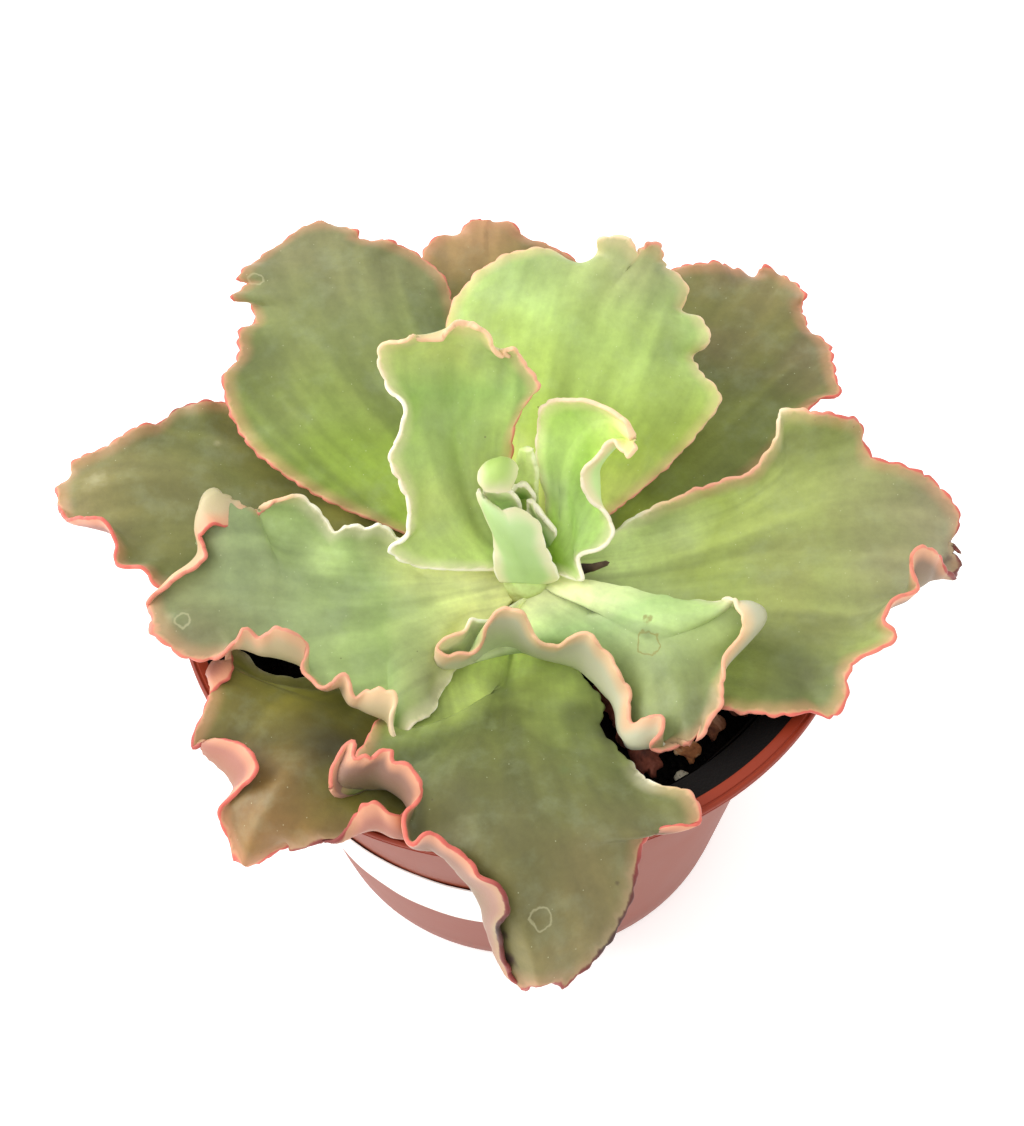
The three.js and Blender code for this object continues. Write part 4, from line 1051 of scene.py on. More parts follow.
def narrow_spec(rib, across, half, cup):
    """Guides of a narrow blade along its rib, widest in the middle and cupped upwards."""
    line = Guide(rib)
    over = np.array(across, float) / np.linalg.norm(across)
    u = np.linspace(0, 1, 6)
    width = half * (0.3 + 0.7 * np.sin(np.pi * np.minimum(0.15 + 0.8 * u, 1)))[:, None]
    lift = np.cross(line.along(u), over)
    lift = -cup * width * lift / np.linalg.norm(lift, axis=1, keepdims=True)
    centre = line.at(u)
    return {"rib": rib, "left": centre - over * width + lift, "right": centre + over * width + lift}


# Materials

def add(tree, kind, inputs=None, stops=None, **settings):
    """Adds a node with its settings, and fills or links its inputs."""
    node = tree.nodes.new(kind)
    node.location = (-180 * (len(tree.nodes) % 12), -160 * (len(tree.nodes) // 12))
    for name, value in settings.items():
        setattr(node, name, value)
    for name, value in (inputs or {}).items():
        if isinstance(value, bpy.types.NodeSocket):
            tree.links.new(value, node.inputs[name])
        else:
            node.inputs[name].default_value = value
    if stops:
        ramp = node.color_ramp.elements
        while len(ramp) < len(stops):
            ramp.new(1)
        for element, (place, colour) in zip(ramp, stops):
            element.position, element.color = place, colour
    return node


# Sockets of the Mix node when it mixes colours
FIRST, SECOND, MIXED = 6, 7, 2


def new_material(name):
    """An empty node material and its tree."""
    material = bpy.data.materials.new(name)
    material.use_nodes = True
    material.node_tree.nodes.clear()
    return material, material.node_tree


def close_material(tree, shader):
    """Ends a material in its output."""
    add(tree, "ShaderNodeOutputMaterial", {"Surface": shader.outputs[0]})


def in_millimetres(tree):
    """Object coordinates in millimetres, so that a noise's scale is one over a real size."""
    place = add(tree, "ShaderNodeTexCoord")
    return add(
        tree, "ShaderNodeVectorMath", {0: place.outputs["Object"], "Scale": 1 / MM}, operation="SCALE",
    ).outputs[0]


def echeveria_flesh(name, look, settings):
    """Fleshy echeveria leaf: dense, smooth skin under a thin powdery wax, so its shine is broad and
    soft, the flesh glows a little where it is thin, and the edge is a clear pink to cream line."""
    material, tree = new_material(name)
    mm = in_millimetres(tree)
    edge = add(tree, "ShaderNodeAttribute", attribute_name="edge_mm").outputs["Fac"]
    along = add(tree, "ShaderNodeAttribute", attribute_name="along").outputs["Fac"]
    across = add(tree, "ShaderNodeAttribute", attribute_name="across_mm").outputs["Fac"]
    under = add(tree, "ShaderNodeAttribute", attribute_name="underside").outputs["Fac"]

    # Flesh from root to tip, with its colour drifting between
    drift = add(tree, "ShaderNodeTexNoise", {"Vector": mm, "Scale": 1 / 22, "Detail": 2.0})
    drift = add(
        tree, "ShaderNodeMath", {0: drift.outputs["Fac"], 1: 0.3, 2: -0.15}, operation="MULTIPLY_ADD",
    )
    station = add(tree, "ShaderNodeMath", {0: along, 1: drift.outputs[0]}, operation="ADD")
    places = (0.1, 0.35, 0.65, 0.95)
    flesh = add(
        tree, "ShaderNodeValToRGB", {"Fac": station.outputs[0]},
        stops=[(place, linear(tone)) for place, tone in zip(places, look["flesh"])],
    ).outputs["Color"]

    # Blush in clouds of some centimetres, and faint veins a few millimetres apart that fan out
    clouds = add(
        tree, "ShaderNodeTexNoise", {"Vector": mm, "Scale": 1 / 26, "Detail": 2.0, "Distortion": 0.4},
    )
    clouds = add(
        tree, "ShaderNodeMapRange",
        {"Value": clouds.outputs["Fac"], "From Min": 0.4, "From Max": 0.7, "To Max": 0.55},
        interpolation_type="SMOOTHSTEP",
    )
    flesh = add(
        tree, "ShaderNodeMix", {0: clouds.outputs[0], FIRST: flesh, SECOND: linear(look["blush"])},
        data_type="RGBA",
    ).outputs[MIXED]
    fan = add(tree, "ShaderNodeMath", {0: along, 1: 60.0, 2: 25.0}, operation="MULTIPLY_ADD")
    fan = add(tree, "ShaderNodeMath", {0: across, 1: fan.outputs[0]}, operation="DIVIDE")
    slow = add(tree, "ShaderNodeMath", {0: along, 1: 0.25}, operation="MULTIPLY")
    fan = add(
        tree, "ShaderNodeCombineXYZ", {"X": fan.outputs[0], "Y": slow.outputs[0], "Z": under},
    ).outputs[0]
    veins = add(tree, "ShaderNodeTexNoise", {"Vector": fan, "Scale": 15.0, "Detail": 3.0})
    veins = add(
        tree, "ShaderNodeMapRange",
        {"Value": veins.outputs["Fac"], "From Min": 0.3, "From Max": 0.7, "To Min": 0.9, "To Max": 1.08},
    )
    bands = add(tree, "ShaderNodeTexNoise", {"Vector": fan, "Scale": 5.5, "Detail": 2.0, "Distortion": 0.3})
    bands = add(
        tree, "ShaderNodeMapRange",
        {"Value": bands.outputs["Fac"], "From Min": 0.35, "From Max": 0.65, "To Min": 0.82, "To Max": 1.14},
        interpolation_type="SMOOTHSTEP",
    )
    mottle = add(
        tree, "ShaderNodeTexNoise", {"Vector": mm, "Scale": 1 / 2.6, "Detail": 5.0, "Roughness": 0.65},
    )
    mottle = add(
        tree, "ShaderNodeMapRange",
        {"Value": mottle.outputs["Fac"], "From Min": 0.3, "From Max": 0.7, "To Min": 0.9, "To Max": 1.09},
    )
    shade = add(tree, "ShaderNodeMath", {0: veins.outputs[0], 1: bands.outputs[0]}, operation="MULTIPLY")
    shade = add(tree, "ShaderNodeMath", {0: shade.outputs[0], 1: mottle.outputs[0]}, operation="MULTIPLY")
    flesh = add(
        tree, "ShaderNodeVectorMath", {0: flesh, "Scale": shade.outputs[0]}, operation="SCALE",
    ).outputs[0]

    # Pale pinpricks, and here and there a brown one, some millimetres apart
    for spread, size, tone, strength in ((2.4, 0.16, "#E4EAC0", 0.35), (9.0, 0.3, "#5A4A30", 0.6)):
        dots = add(tree, "ShaderNodeTexVoronoi", {"Vector": mm, "Scale": 1 / spread})
        dots = add(
            tree, "ShaderNodeMapRange",
            {"Value": dots.outputs["Distance"], "From Min": 0.5 * size / spread, "From Max": size / spread,
             "To Min": strength, "To Max": 0.0},
            interpolation_type="SMOOTHSTEP",
        )
        flesh = add(
            tree, "ShaderNodeMix", {0: dots.outputs[0], FIRST: flesh, SECOND: linear(tone)},
            data_type="RGBA",
        ).outputs[MIXED]

    # Powdery wax, rubbed off in patches
    wax = add(tree, "ShaderNodeTexNoise", {"Vector": mm, "Scale": 1 / 8, "Detail": 5.0, "Roughness": 0.6})
    wax = add(
        tree, "ShaderNodeMapRange",
        {"Value": wax.outputs["Fac"], "From Min": 0.45, "From Max": 0.75, "To Max": 0.13},
        interpolation_type="SMOOTHSTEP",
    )
    flesh = add(
        tree, "ShaderNodeMix", {0: wax.outputs[0], FIRST: flesh, SECOND: list(settings.bloom_colour)},
        data_type="RGBA",
    ).outputs[MIXED]

    # Underside, flushed from the edge in
    flush = add(
        tree, "ShaderNodeMapRange", {"Value": edge, "From Min": 2.0, "From Max": 16.0, "To Max": 0.7},
        interpolation_type="SMOOTHSTEP",
    )
    below = add(
        tree, "ShaderNodeMix", {0: flush.outputs[0], FIRST: linear(look["under"]), SECOND: flesh},
        data_type="RGBA",
    ).outputs[MIXED]
    flesh = add(
        tree, "ShaderNodeMix", {0: under, FIRST: flesh, SECOND: below}, data_type="RGBA",
    ).outputs[MIXED]
    flesh = marked_flesh(tree, mm, flesh, look["marks"], settings)
    flesh = tinted_margin(tree, flesh, edge, under, settings)

    skin = add(tree, "ShaderNodeTexNoise", {"Vector": mm, "Scale": 1 / 0.7, "Detail": 3.0})
    relief = add(
        tree, "ShaderNodeMath", {0: veins.outputs[0], 1: 1.5, 2: skin.outputs["Fac"]},
        operation="MULTIPLY_ADD",
    )
    bump = add(
        tree, "ShaderNodeBump", {"Height": relief.outputs[0], "Strength": 0.35, "Distance": 0.12 * MM},
    )
    shine = add(tree, "ShaderNodeMapRange", {"Value": skin.outputs["Fac"], "To Min": 0.42, "To Max": 0.6})
    shader = add(
        tree, "ShaderNodeBsdfPrincipled",
        {"Base Color": flesh, "Roughness": shine.outputs[0], "IOR": 1.42, "Normal": bump.outputs[0],
         "Subsurface Weight": 0.12, "Subsurface Radius": (0.9, 1.0, 0.4), "Subsurface Scale": 1.2 * MM,
         "Sheen Weight": 0.06, "Sheen Roughness": 0.6},
    )
    close_material(tree, shader)
    return material


def tinted_margin(tree, flesh, edge, under, settings):
    """Lays the clear line along the edge over the flesh. It widens on each small lobe, breaks up in
    streaks of about a millimetre, and a fainter tint of it reaches some millimetres in."""
    tint = add(tree, "ShaderNodeAttribute", attribute_name="tint").outputs["Fac"]
    lobe = add(tree, "ShaderNodeAttribute", attribute_name="lobe").outputs["Fac"]
    run = add(tree, "ShaderNodeAttribute", attribute_name="run_mm").outputs["Fac"]
    low, high = TINTS[0][0], TINTS[-1][0]
    station = add(tree, "ShaderNodeMapRange", {"Value": tint, "From Min": low, "From Max": high}).outputs[0]
    colour = add(
        tree, "ShaderNodeValToRGB", {"Fac": station},
        stops=[((value - low) / (high - low), linear(tone)) for value, tone in TINTS],
    ).outputs["Color"]
    clear = add(tree, "ShaderNodeMapRange", {"Value": tint, "From Min": -0.9, "From Max": 0.0}).outputs[0]
    spread = add(
        tree, "ShaderNodeMapRange",
        {"Value": tint, "From Min": 1.2, "From Max": 2.0, "To Min": 1.0, "To Max": 2.2},
    ).outputs[0]
    streak = add(tree, "ShaderNodeMath", {0: edge, 1: 0.2}, operation="MULTIPLY")
    streak = add(tree, "ShaderNodeCombineXYZ", {"X": run, "Y": streak.outputs[0]})
    streak = add(tree, "ShaderNodeTexNoise", {"Vector": streak.outputs[0], "Scale": 0.9, "Detail": 3.0})
    width = add(
        tree, "ShaderNodeMath", {0: lobe, 1: 0.7, 2: streak.outputs["Fac"]}, operation="MULTIPLY_ADD",
    )
    width = add(
        tree, "ShaderNodeMath", {0: width.outputs[0], 1: settings.margin_width / MM}, operation="MULTIPLY",
    )
    width = add(tree, "ShaderNodeMath", {0: width.outputs[0], 1: spread}, operation="MULTIPLY")
    inside = add(tree, "ShaderNodeMath", {0: edge, 1: width.outputs[0]}, operation="DIVIDE").outputs[0]
    halo = add(
        tree, "ShaderNodeMix", {0: 0.35, FIRST: colour, SECOND: linear("#F0D8A0")}, data_type="RGBA",
    ).outputs[MIXED]
    blushed = add(tree, "ShaderNodeMapRange", {"Value": under, "To Min": 0.35, "To Max": 0.75}).outputs[0]
    for measure, begin, end, strength, tone in (
        (edge, 1.0, 4.5, blushed, halo), (inside, 0.8, 2.4, 0.55, halo), (inside, 0.45, 1.1, 1.0, colour),
    ):
        band = add(
            tree, "ShaderNodeMapRange",
            {"Value": measure, "From Min": begin, "From Max": end, "To Min": strength, "To Max": 0.0},
            interpolation_type="SMOOTHSTEP",
        )
        band = add(tree, "ShaderNodeMath", {0: band.outputs[0], 1: clear}, operation="MULTIPLY")
        flesh = add(
            tree, "ShaderNodeMix", {0: band.outputs[0], FIRST: flesh, SECOND: tone}, data_type="RGBA",
        ).outputs[MIXED]
    return flesh


def marked_flesh(tree, mm, flesh, marks, settings):
    """Lays a leaf's marks over its flesh: broad patches of painted shade and painted light, spots, dry
    edges, bruises, scars and rings.
    """
    ragged = add(tree, "ShaderNodeTexNoise", {"Vector": mm, "Scale": 1 / 2.2, "Detail": 3.0})
    dry, scar = list(settings.dry_colour), list(settings.scar_colour)
    for kind, place, radius in marks:
        away = add(tree, "ShaderNodeVectorMath", {0: mm, 1: place}, operation="DISTANCE").outputs["Value"]
        # Broad patches of painted shade and painted light scale the flesh's brightness
        if kind in PAINTED_SHADE_AND_LIGHT:
            shade = add(
                tree, "ShaderNodeMapRange",
                {"Value": away, "From Max": radius, "To Min": PAINTED_SHADE_AND_LIGHT[kind], "To Max": 1.0},
                interpolation_type="SMOOTHSTEP",
            )
            flesh = add(
                tree, "ShaderNodeVectorMath", {0: flesh, "Scale": shade.outputs[0]}, operation="SCALE",
            ).outputs[0]
            continue
        away = add(
            tree, "ShaderNodeMath", {0: ragged.outputs["Fac"], 1: 1.2 * radius, 2: away},
            operation="MULTIPLY_ADD",
        )
        reach = 1.6 * radius
        if kind in ("ring", "cork"):
            away = add(tree, "ShaderNodeMath", {0: away.outputs[0], 1: reach}, operation="SUBTRACT")
            away = add(tree, "ShaderNodeMath", {0: away.outputs[0]}, operation="ABSOLUTE")
            reach = 0.4
        tone, strength, soft = {
            "spot": (dry, 0.8, 0.5), "dry": (dry, 0.95, 0.6), "bruise": (linear("#66743E"), 0.6, 0.8),
            "scar": (scar, 0.4, 0.8), "ring": (scar, 0.38, 0.9), "cork": (linear("#8A8440"), 0.75, 0.9),
        }[kind]
        share = add(
            tree, "ShaderNodeMapRange",
            {"Value": away.outputs[0], "From Min": reach * (1 - soft), "From Max": reach,
             "To Min": strength, "To Max": 0.0},
            interpolation_type="SMOOTHSTEP",
        )
        flesh = add(
            tree, "ShaderNodeMix", {0: share.outputs[0], FIRST: flesh, SECOND: tone}, data_type="RGBA",
        ).outputs[MIXED]
    return flesh


def dead_leaf_paper(name, tones):
    """Withered leaf: papery, shrunken brown skin, dull, with dark and pinkish patches."""
    material, tree = new_material(name)
    mm = in_millimetres(tree)
    patches = add(
        tree, "ShaderNodeTexNoise", {"Vector": mm, "Scale": 1 / 5, "Detail": 4.0, "Distortion": 1.0},
    )
    tone = add(
        tree, "ShaderNodeValToRGB", {"Fac": patches.outputs["Fac"]},
        stops=[(place, linear(tone)) for place, tone in zip((0.32, 0.5, 0.66), tones)],
    )
    creases = add(tree, "ShaderNodeTexNoise", {"Vector": mm, "Scale": 1 / 1.3, "Detail": 4.0})
    bump = add(
        tree, "ShaderNodeBump", {"Height": creases.outputs["Fac"], "Strength": 0.7, "Distance": 0.6 * MM},
    )
    shader = add(
        tree, "ShaderNodeBsdfPrincipled",
        {"Base Color": tone.outputs["Color"], "Roughness": 0.8, "Normal": bump.outputs[0]},
    )
    close_material(tree, shader)
    return material


def moulded_polypropylene(settings):
    """Injection moulded polypropylene: terracotta pigment, satin skin with faint flow marks; the lip is
    painted darker and redder than the wall as painted shade under the leaves, and the wall paler as painted
    light from the floor below."""
    material, tree = new_material("moulded_polypropylene")
    mm = in_millimetres(tree)
    height = add(tree, "ShaderNodeSeparateXYZ", {0: mm}).outputs["Z"]
    shaded_lip_share = add(
        tree, "ShaderNodeMapRange",
        {"Value": height, "From Min": POT_HEIGHT - 4.5, "From Max": POT_HEIGHT - 2.5},
    )
    flow = add(
        tree, "ShaderNodeTexNoise", {"Vector": mm, "Scale": 1 / 30, "Detail": 3.0, "Distortion": 0.8},
    )
    colour = add(
        tree, "ShaderNodeMix",
        {0: shaded_lip_share.outputs[0], FIRST: list(settings.lit_wall_colour), SECOND: list(settings.shaded_lip_colour)},
        data_type="RGBA",
    )
    shade = add(tree, "ShaderNodeMapRange", {"Value": flow.outputs["Fac"], "To Min": 0.93, "To Max": 1.07})
    colour = add(
        tree, "ShaderNodeVectorMath", {0: colour.outputs[MIXED], "Scale": shade.outputs[0]},
        operation="SCALE",
    )
    # The inside, up the wall and, over the chamfer at its top, inside the lip, is painted near black:
    # painted shade of the pot's inside
    level = add(tree, "ShaderNodeVectorMath", {0: mm, 1: (1, 1, 0)}, operation="MULTIPLY")
    radius = add(tree, "ShaderNodeVectorMath", {0: level.outputs[0]}, operation="LENGTH").outputs["Value"]
    slope = (WALL_TOP_RADIUS - BASE_RADIUS) / (POT_HEIGHT - LIP_THICKNESS)
    middle = add(
        tree, "ShaderNodeMath", {0: height, 1: slope, 2: BASE_RADIUS - 0.6}, operation="MULTIPLY_ADD",
    )
    over = add(
        tree, "ShaderNodeMapRange",
        {"Value": height, "From Min": 102.2, "From Max": 102.6,
         "To Max": LIP_RADIUS - LIP_WIDTH - WALL_TOP_RADIUS + 0.5},
    )
    middle = add(tree, "ShaderNodeMath", {0: middle.outputs[0], 1: over.outputs[0]}, operation="ADD")
    inside = add(tree, "ShaderNodeMath", {0: middle.outputs[0], 1: radius}, operation="GREATER_THAN")
    colour = add(
        tree, "ShaderNodeMix", {0: inside.outputs[0], FIRST: colour.outputs[0], SECOND: linear("#090504")},
        data_type="RGBA",
    ).outputs[MIXED]
    grain = add(tree, "ShaderNodeTexNoise", {"Vector": mm, "Scale": 1 / 0.8, "Detail": 2.0})
    relief = add(tree, "ShaderNodeMath", {0: inside.outputs[0], 1: 20.0, 2: 1.0}, operation="MULTIPLY_ADD")
    relief = add(
        tree, "ShaderNodeMath", {0: relief.outputs[0], 1: grain.outputs["Fac"]}, operation="MULTIPLY",
    )
    bump = add(tree, "ShaderNodeBump", {"Height": relief.outputs[0], "Strength": 0.2, "Distance": 0.1 * MM})
    gloss = add(tree, "ShaderNodeMapRange", {"Value": flow.outputs["Fac"], "To Min": 0.38, "To Max": 0.5})
    gloss = add(tree, "ShaderNodeMath", {0: gloss.outputs[0], 1: inside.outputs[0]}, operation="MAXIMUM")
    shader = add(
        tree, "ShaderNodeBsdfPrincipled",
        {"Base Color": colour, "Roughness": gloss.outputs[0], "IOR": 1.49, "Normal": bump.outputs[0],
         "Specular IOR Level": 0.25, "Subsurface Weight": 0.1,
         "Subsurface Radius": (1.0, 0.4, 0.25), "Subsurface Scale": 1.5 * MM},
    )
    close_material(tree, shader)
    return material


def label_paper(settings):
    """Uncoated paper: white, matt, with a fibre grain and slight cockling from damp."""
    material, tree = new_material("matte_label_paper")
    mm = in_millimetres(tree)
    fibre = add(tree, "ShaderNodeTexNoise", {"Vector": mm, "Scale": 1 / 0.9, "Detail": 4.0})
    stain = add(tree, "ShaderNodeTexNoise", {"Vector": mm, "Scale": 1 / 12, "Detail": 3.0})
    tone = add(
        tree, "ShaderNodeMix",
        {0: stain.outputs["Fac"], FIRST: list(settings.paper_colour), SECOND: linear("#F4F0EA")},
        data_type="RGBA",
    )
    bump = add(
        tree, "ShaderNodeBump", {"Height": fibre.outputs["Fac"], "Strength": 0.3, "Distance": 0.1 * MM},
    )
    shader = add(
        tree, "ShaderNodeBsdfPrincipled",
        {"Base Color": tone.outputs[MIXED], "Roughness": 0.85, "Normal": bump.outputs[0]},
    )
    close_material(tree, shader)
    return material


def damp_peat(name, dark, light):
    """Damp peat: nearly black, with crumbs a little browner and rough, so it takes almost no shine."""
    material, tree = new_material(name)
    mm = in_millimetres(tree)
    crumbs = add(
        tree, "ShaderNodeTexNoise", {"Vector": mm, "Scale": 1 / 3.5, "Detail": 6.0, "Roughness": 0.7},
    )
    tone = add(
        tree, "ShaderNodeValToRGB", {"Fac": crumbs.outputs["Fac"]}, stops=[(0.45, dark), (0.75, light)],
    )
    bump = add(
        tree, "ShaderNodeBump", {"Height": crumbs.outputs["Fac"], "Strength": 0.8, "Distance": 1.2 * MM},
    )
    shader = add(
        tree, "ShaderNodeBsdfPrincipled",
        {"Base Color": tone.outputs["Color"], "Roughness": 0.95, "Specular IOR Level": 0.12,
         "Normal": bump.outputs[0]},
    )
    close_material(tree, shader)
    return material


def porous_pumice(settings):
    """Pumice: a pale, dry, porous stone with darker pits of about half a millimetre."""
    material, tree = new_material("porous_pumice")
    mm = in_millimetres(tree)
    pits = add(tree, "ShaderNodeTexVoronoi", {"Vector": mm, "Scale": 1 / 0.7})
    tone = add(
        tree, "ShaderNodeValToRGB", {"Fac": pits.outputs["Distance"]},
        stops=[(0.1, linear("#8F8670")), (0.35, list(settings.granule_colour))],
    )
    bump = add(
        tree, "ShaderNodeBump", {"Height": pits.outputs["Distance"], "Strength": 0.6, "Distance": 0.3 * MM},
    )
    shader = add(
        tree, "ShaderNodeBsdfPrincipled",
        {"Base Color": tone.outputs["Color"], "Roughness": 0.85, "Normal": bump.outputs[0]},
    )
    close_material(tree, shader)
    return material


def corky_stem():
    """Succulent stem: green flesh that turns brown and corky downwards, ringed with old leaf scars; its
    pale top is partly young green and partly painted light.
    """
    material, tree = new_material("corky_stem")
    mm = in_millimetres(tree)
    height = add(tree, "ShaderNodeSeparateXYZ", {0: mm}).outputs["Z"]
    rough = add(tree, "ShaderNodeTexNoise", {"Vector": mm, "Scale": 1 / 3, "Detail": 5.0})
    station = add(
        tree, "ShaderNodeMath", {0: rough.outputs["Fac"], 1: 8.0, 2: height}, operation="MULTIPLY_ADD",
    )
    station = add(
        tree, "ShaderNodeMapRange", {"Value": station.outputs[0], "From Min": 96.0, "From Max": 116.0},
    )
    # The palest stop at the top is partly the stem's young green and partly painted light against the
    # leaves' shade
    tone = add(
        tree, "ShaderNodeValToRGB", {"Fac": station.outputs[0]},
        stops=[(0.0, linear("#4A3626")), (0.5, linear("#A8A860")), (0.8, linear("#E8FFB0"))],
    )
    bump = add(
        tree, "ShaderNodeBump", {"Height": rough.outputs["Fac"], "Strength": 0.6, "Distance": 0.6 * MM},
    )
    shader = add(
        tree, "ShaderNodeBsdfPrincipled",
        {"Base Color": tone.outputs["Color"], "Roughness": 0.7, "Normal": bump.outputs[0]},
    )
    close_material(tree, shader)
    return material


def studio_floor(settings):
    """Seamless white studio paper: matt and almost even."""
    material, tree = new_material("studio_floor")
    shader = add(
        tree, "ShaderNodeBsdfPrincipled",
        {"Base Color": list(settings.floor_colour), "Roughness": 0.9,
         "Emission Color": (1, 1, 1, 1), "Emission Strength": 0.4},
    )
    close_material(tree, shader)
    return material


# Geometry Nodes

def node_tree(name, inputs):
    """A geometry tree with named inputs. Returns it, its input node and each input's identifier."""
    tree = bpy.data.node_groups.new(name, "GeometryNodeTree")
    tree.interface.new_socket(name="Geometry", in_out="OUTPUT", socket_type="NodeSocketGeometry")
    tree.interface.new_socket(name="Geometry", in_out="INPUT", socket_type="NodeSocketGeometry")
    identifiers = {}
    for label, kind in inputs.items():
        item = tree.interface.new_socket(name=label, in_out="INPUT", socket_type=kind)
        identifiers[label] = item.identifier
    return tree, tree.nodes.new("NodeGroupInput"), identifiers


def run_tree(source, tree, identifiers, values, name):
    """Runs a geometry tree on an object, and returns its result as a plain mesh object."""
    modifier = source.modifiers.new(name, "NODES")
    modifier.node_group = tree
    for label, value in values.items():
        modifier[identifiers[label]] = value
    return baked(source, name)


def crumbs_tree():
    """Scatters rough crumbs over a surface."""
    tree, given, identifiers = node_tree(
        "soil_crumbs",
        {"Density": "NodeSocketFloat", "Smallest": "NodeSocketFloat", "Largest": "NodeSocketFloat",
         "Seed": "NodeSocketInt", "Material": "NodeSocketMaterial"},
    )
    points = add(
        tree, "GeometryNodeDistributePointsOnFaces",
        {
            "Mesh": given.outputs["Geometry"], "Density": given.outputs["Density"],
            "Seed": given.outputs["Seed"],
        },
        distribute_method="RANDOM",
    )
    crumb = add(tree, "GeometryNodeMeshUVSphere", {"Radius": 1.0, "Segments": 7, "Rings": 5})
    lumps = add(tree, "ShaderNodeTexNoise", {"Scale": 1.3, "Detail": 1.0})
    push = add(
        tree, "ShaderNodeVectorMath", {0: lumps.outputs["Color"], 1: (-0.5, -0.5, -0.5)}, operation="ADD",
    )
    crumb = add(
        tree, "GeometryNodeSetPosition", {"Geometry": crumb.outputs["Mesh"], "Offset": push.outputs[0]},
    )
    spin = add(
        tree, "FunctionNodeRandomValue",
        {0: (0, 0, 0), 1: (6.28, 6.28, 6.28), "Seed": given.outputs["Seed"]},
        data_type="FLOAT_VECTOR",
    )
    share = add(tree, "FunctionNodeRandomValue", {2: 0.0, 3: 1.0, "Seed": 3}, data_type="FLOAT")
    skew = add(tree, "ShaderNodeMath", {0: share.outputs[1], 1: 3.0}, operation="POWER")
    size = add(
        tree, "ShaderNodeMapRange",
        {"Value": skew.outputs[0], "To Min": given.outputs["Smallest"], "To Max": given.outputs["Largest"]},
    )
    squash = add(
        tree, "FunctionNodeRandomValue", {0: (0.7, 0.7, 0.45), 1: (1.3, 1.3, 1.0), "Seed": 5},
        data_type="FLOAT_VECTOR",
    )
    scale = add(
        tree, "ShaderNodeVectorMath", {0: squash.outputs[0], "Scale": size.outputs[0]}, operation="SCALE",
    )
    turn = add(tree, "FunctionNodeEulerToRotation", {0: spin.outputs[0]})
    placed = add(
        tree, "GeometryNodeInstanceOnPoints",
        {"Points": points.outputs["Points"], "Instance": crumb.outputs["Geometry"],
         "Rotation": turn.outputs[0], "Scale": scale.outputs[0]},
    )
    real = add(tree, "GeometryNodeRealizeInstances", {"Geometry": placed.outputs[0]})
    painted = add(
        tree, "GeometryNodeSetMaterial",
        {"Geometry": real.outputs[0], "Material": given.outputs["Material"]},
    )
    tree.links.new(painted.outputs[0], tree.nodes.new("NodeGroupOutput").inputs[0])
    return tree, identifiers


def drain_tree():
    """Cuts a ring of round drain holes through the pot's floor."""
    tree, given, identifiers = node_tree(
        "drain_holes",
        {"Holes": "NodeSocketInt", "Ring": "NodeSocketFloat", "Radius": "NodeSocketFloat",
         "Material": "NodeSocketMaterial"},
    )
    ring = add(
        tree, "GeometryNodeMeshCircle",
        {"Vertices": given.outputs["Holes"], "Radius": given.outputs["Ring"]},
    )
    bore = add(
        tree, "GeometryNodeMeshCylinder",
        {"Vertices": 32, "Radius": given.outputs["Radius"], "Depth": 0.02},
    )
    bores = add(
        tree, "GeometryNodeInstanceOnPoints", {"Points": ring.outputs[0], "Instance": bore.outputs["Mesh"]},
    )
    bores = add(tree, "GeometryNodeRealizeInstances", {"Geometry": bores.outputs[0]})
    cut = add(
        tree, "GeometryNodeMeshBoolean", {0: given.outputs["Geometry"], 1: bores.outputs[0]},
        operation="DIFFERENCE", solver="EXACT",
    )
    painted = add(
        tree, "GeometryNodeSetMaterial",
        {"Geometry": cut.outputs[0], "Material": given.outputs["Material"]},
    )
    tree.links.new(painted.outputs[0], tree.nodes.new("NodeGroupOutput").inputs[0])
    return tree, identifiers


# Pieces of the pot and soil

def wall_radius(z):
    """Radius of the wall's outer face at height z, in mm."""
    return BASE_RADIUS + (WALL_TOP_RADIUS - BASE_RADIUS) * z / (POT_HEIGHT - LIP_THICKNESS)


def pot_profile():
    """The pot's section as (radius, height) in mm, from under its middle round to its floor."""
    under = POT_HEIGHT - LIP_THICKNESS
    edge = LIP_RADIUS
    outside = [
        (0, 0), (BASE_RADIUS - 6, 0), (BASE_RADIUS - 1, 0), (BASE_RADIUS - 0.3, 0.3), (BASE_RADIUS, 1),
    ]
    outside += [(wall_radius(z), z) for z in np.linspace(6, under - 1, 12)]
    outside += [(wall_radius(under) + 0.3, under - 0.3), (wall_radius(under) + 1, under)]
    # The lip's outer edge is a slim bead between two fine steps, as the mould leaves it
    lip = [
        (edge - 0.7, under), (edge - 0.2, under + 0.2), (edge, under + 0.6), (edge, under + 1.0),
        (edge - 0.25, under + 1.15), (edge - 0.25, under + 1.35), (edge, under + 1.5), (edge, under + 1.9),
        (edge - 0.2, POT_HEIGHT - 0.1), (edge - 0.6, POT_HEIGHT), (edge - 0.9, POT_HEIGHT - 0.25),
        (edge - 1.2, POT_HEIGHT - 0.25), (edge - 1.4, POT_HEIGHT), (edge - LIP_WIDTH + 0.6, POT_HEIGHT),
        (edge - LIP_WIDTH, POT_HEIGHT - 0.3),
    ]
    inside = [(edge - LIP_WIDTH - 0.4, POT_HEIGHT - 0.8), (wall_radius(102) - WALL + 0.7, 102.3)]
    inside += [(wall_radius(z) - WALL, z) for z in np.linspace(101.5, FLOOR + 3, 10)]
    inside += [(wall_radius(FLOOR) - WALL - 2, FLOOR), (40, FLOOR), (0, FLOOR)]
    return outside + lip + inside


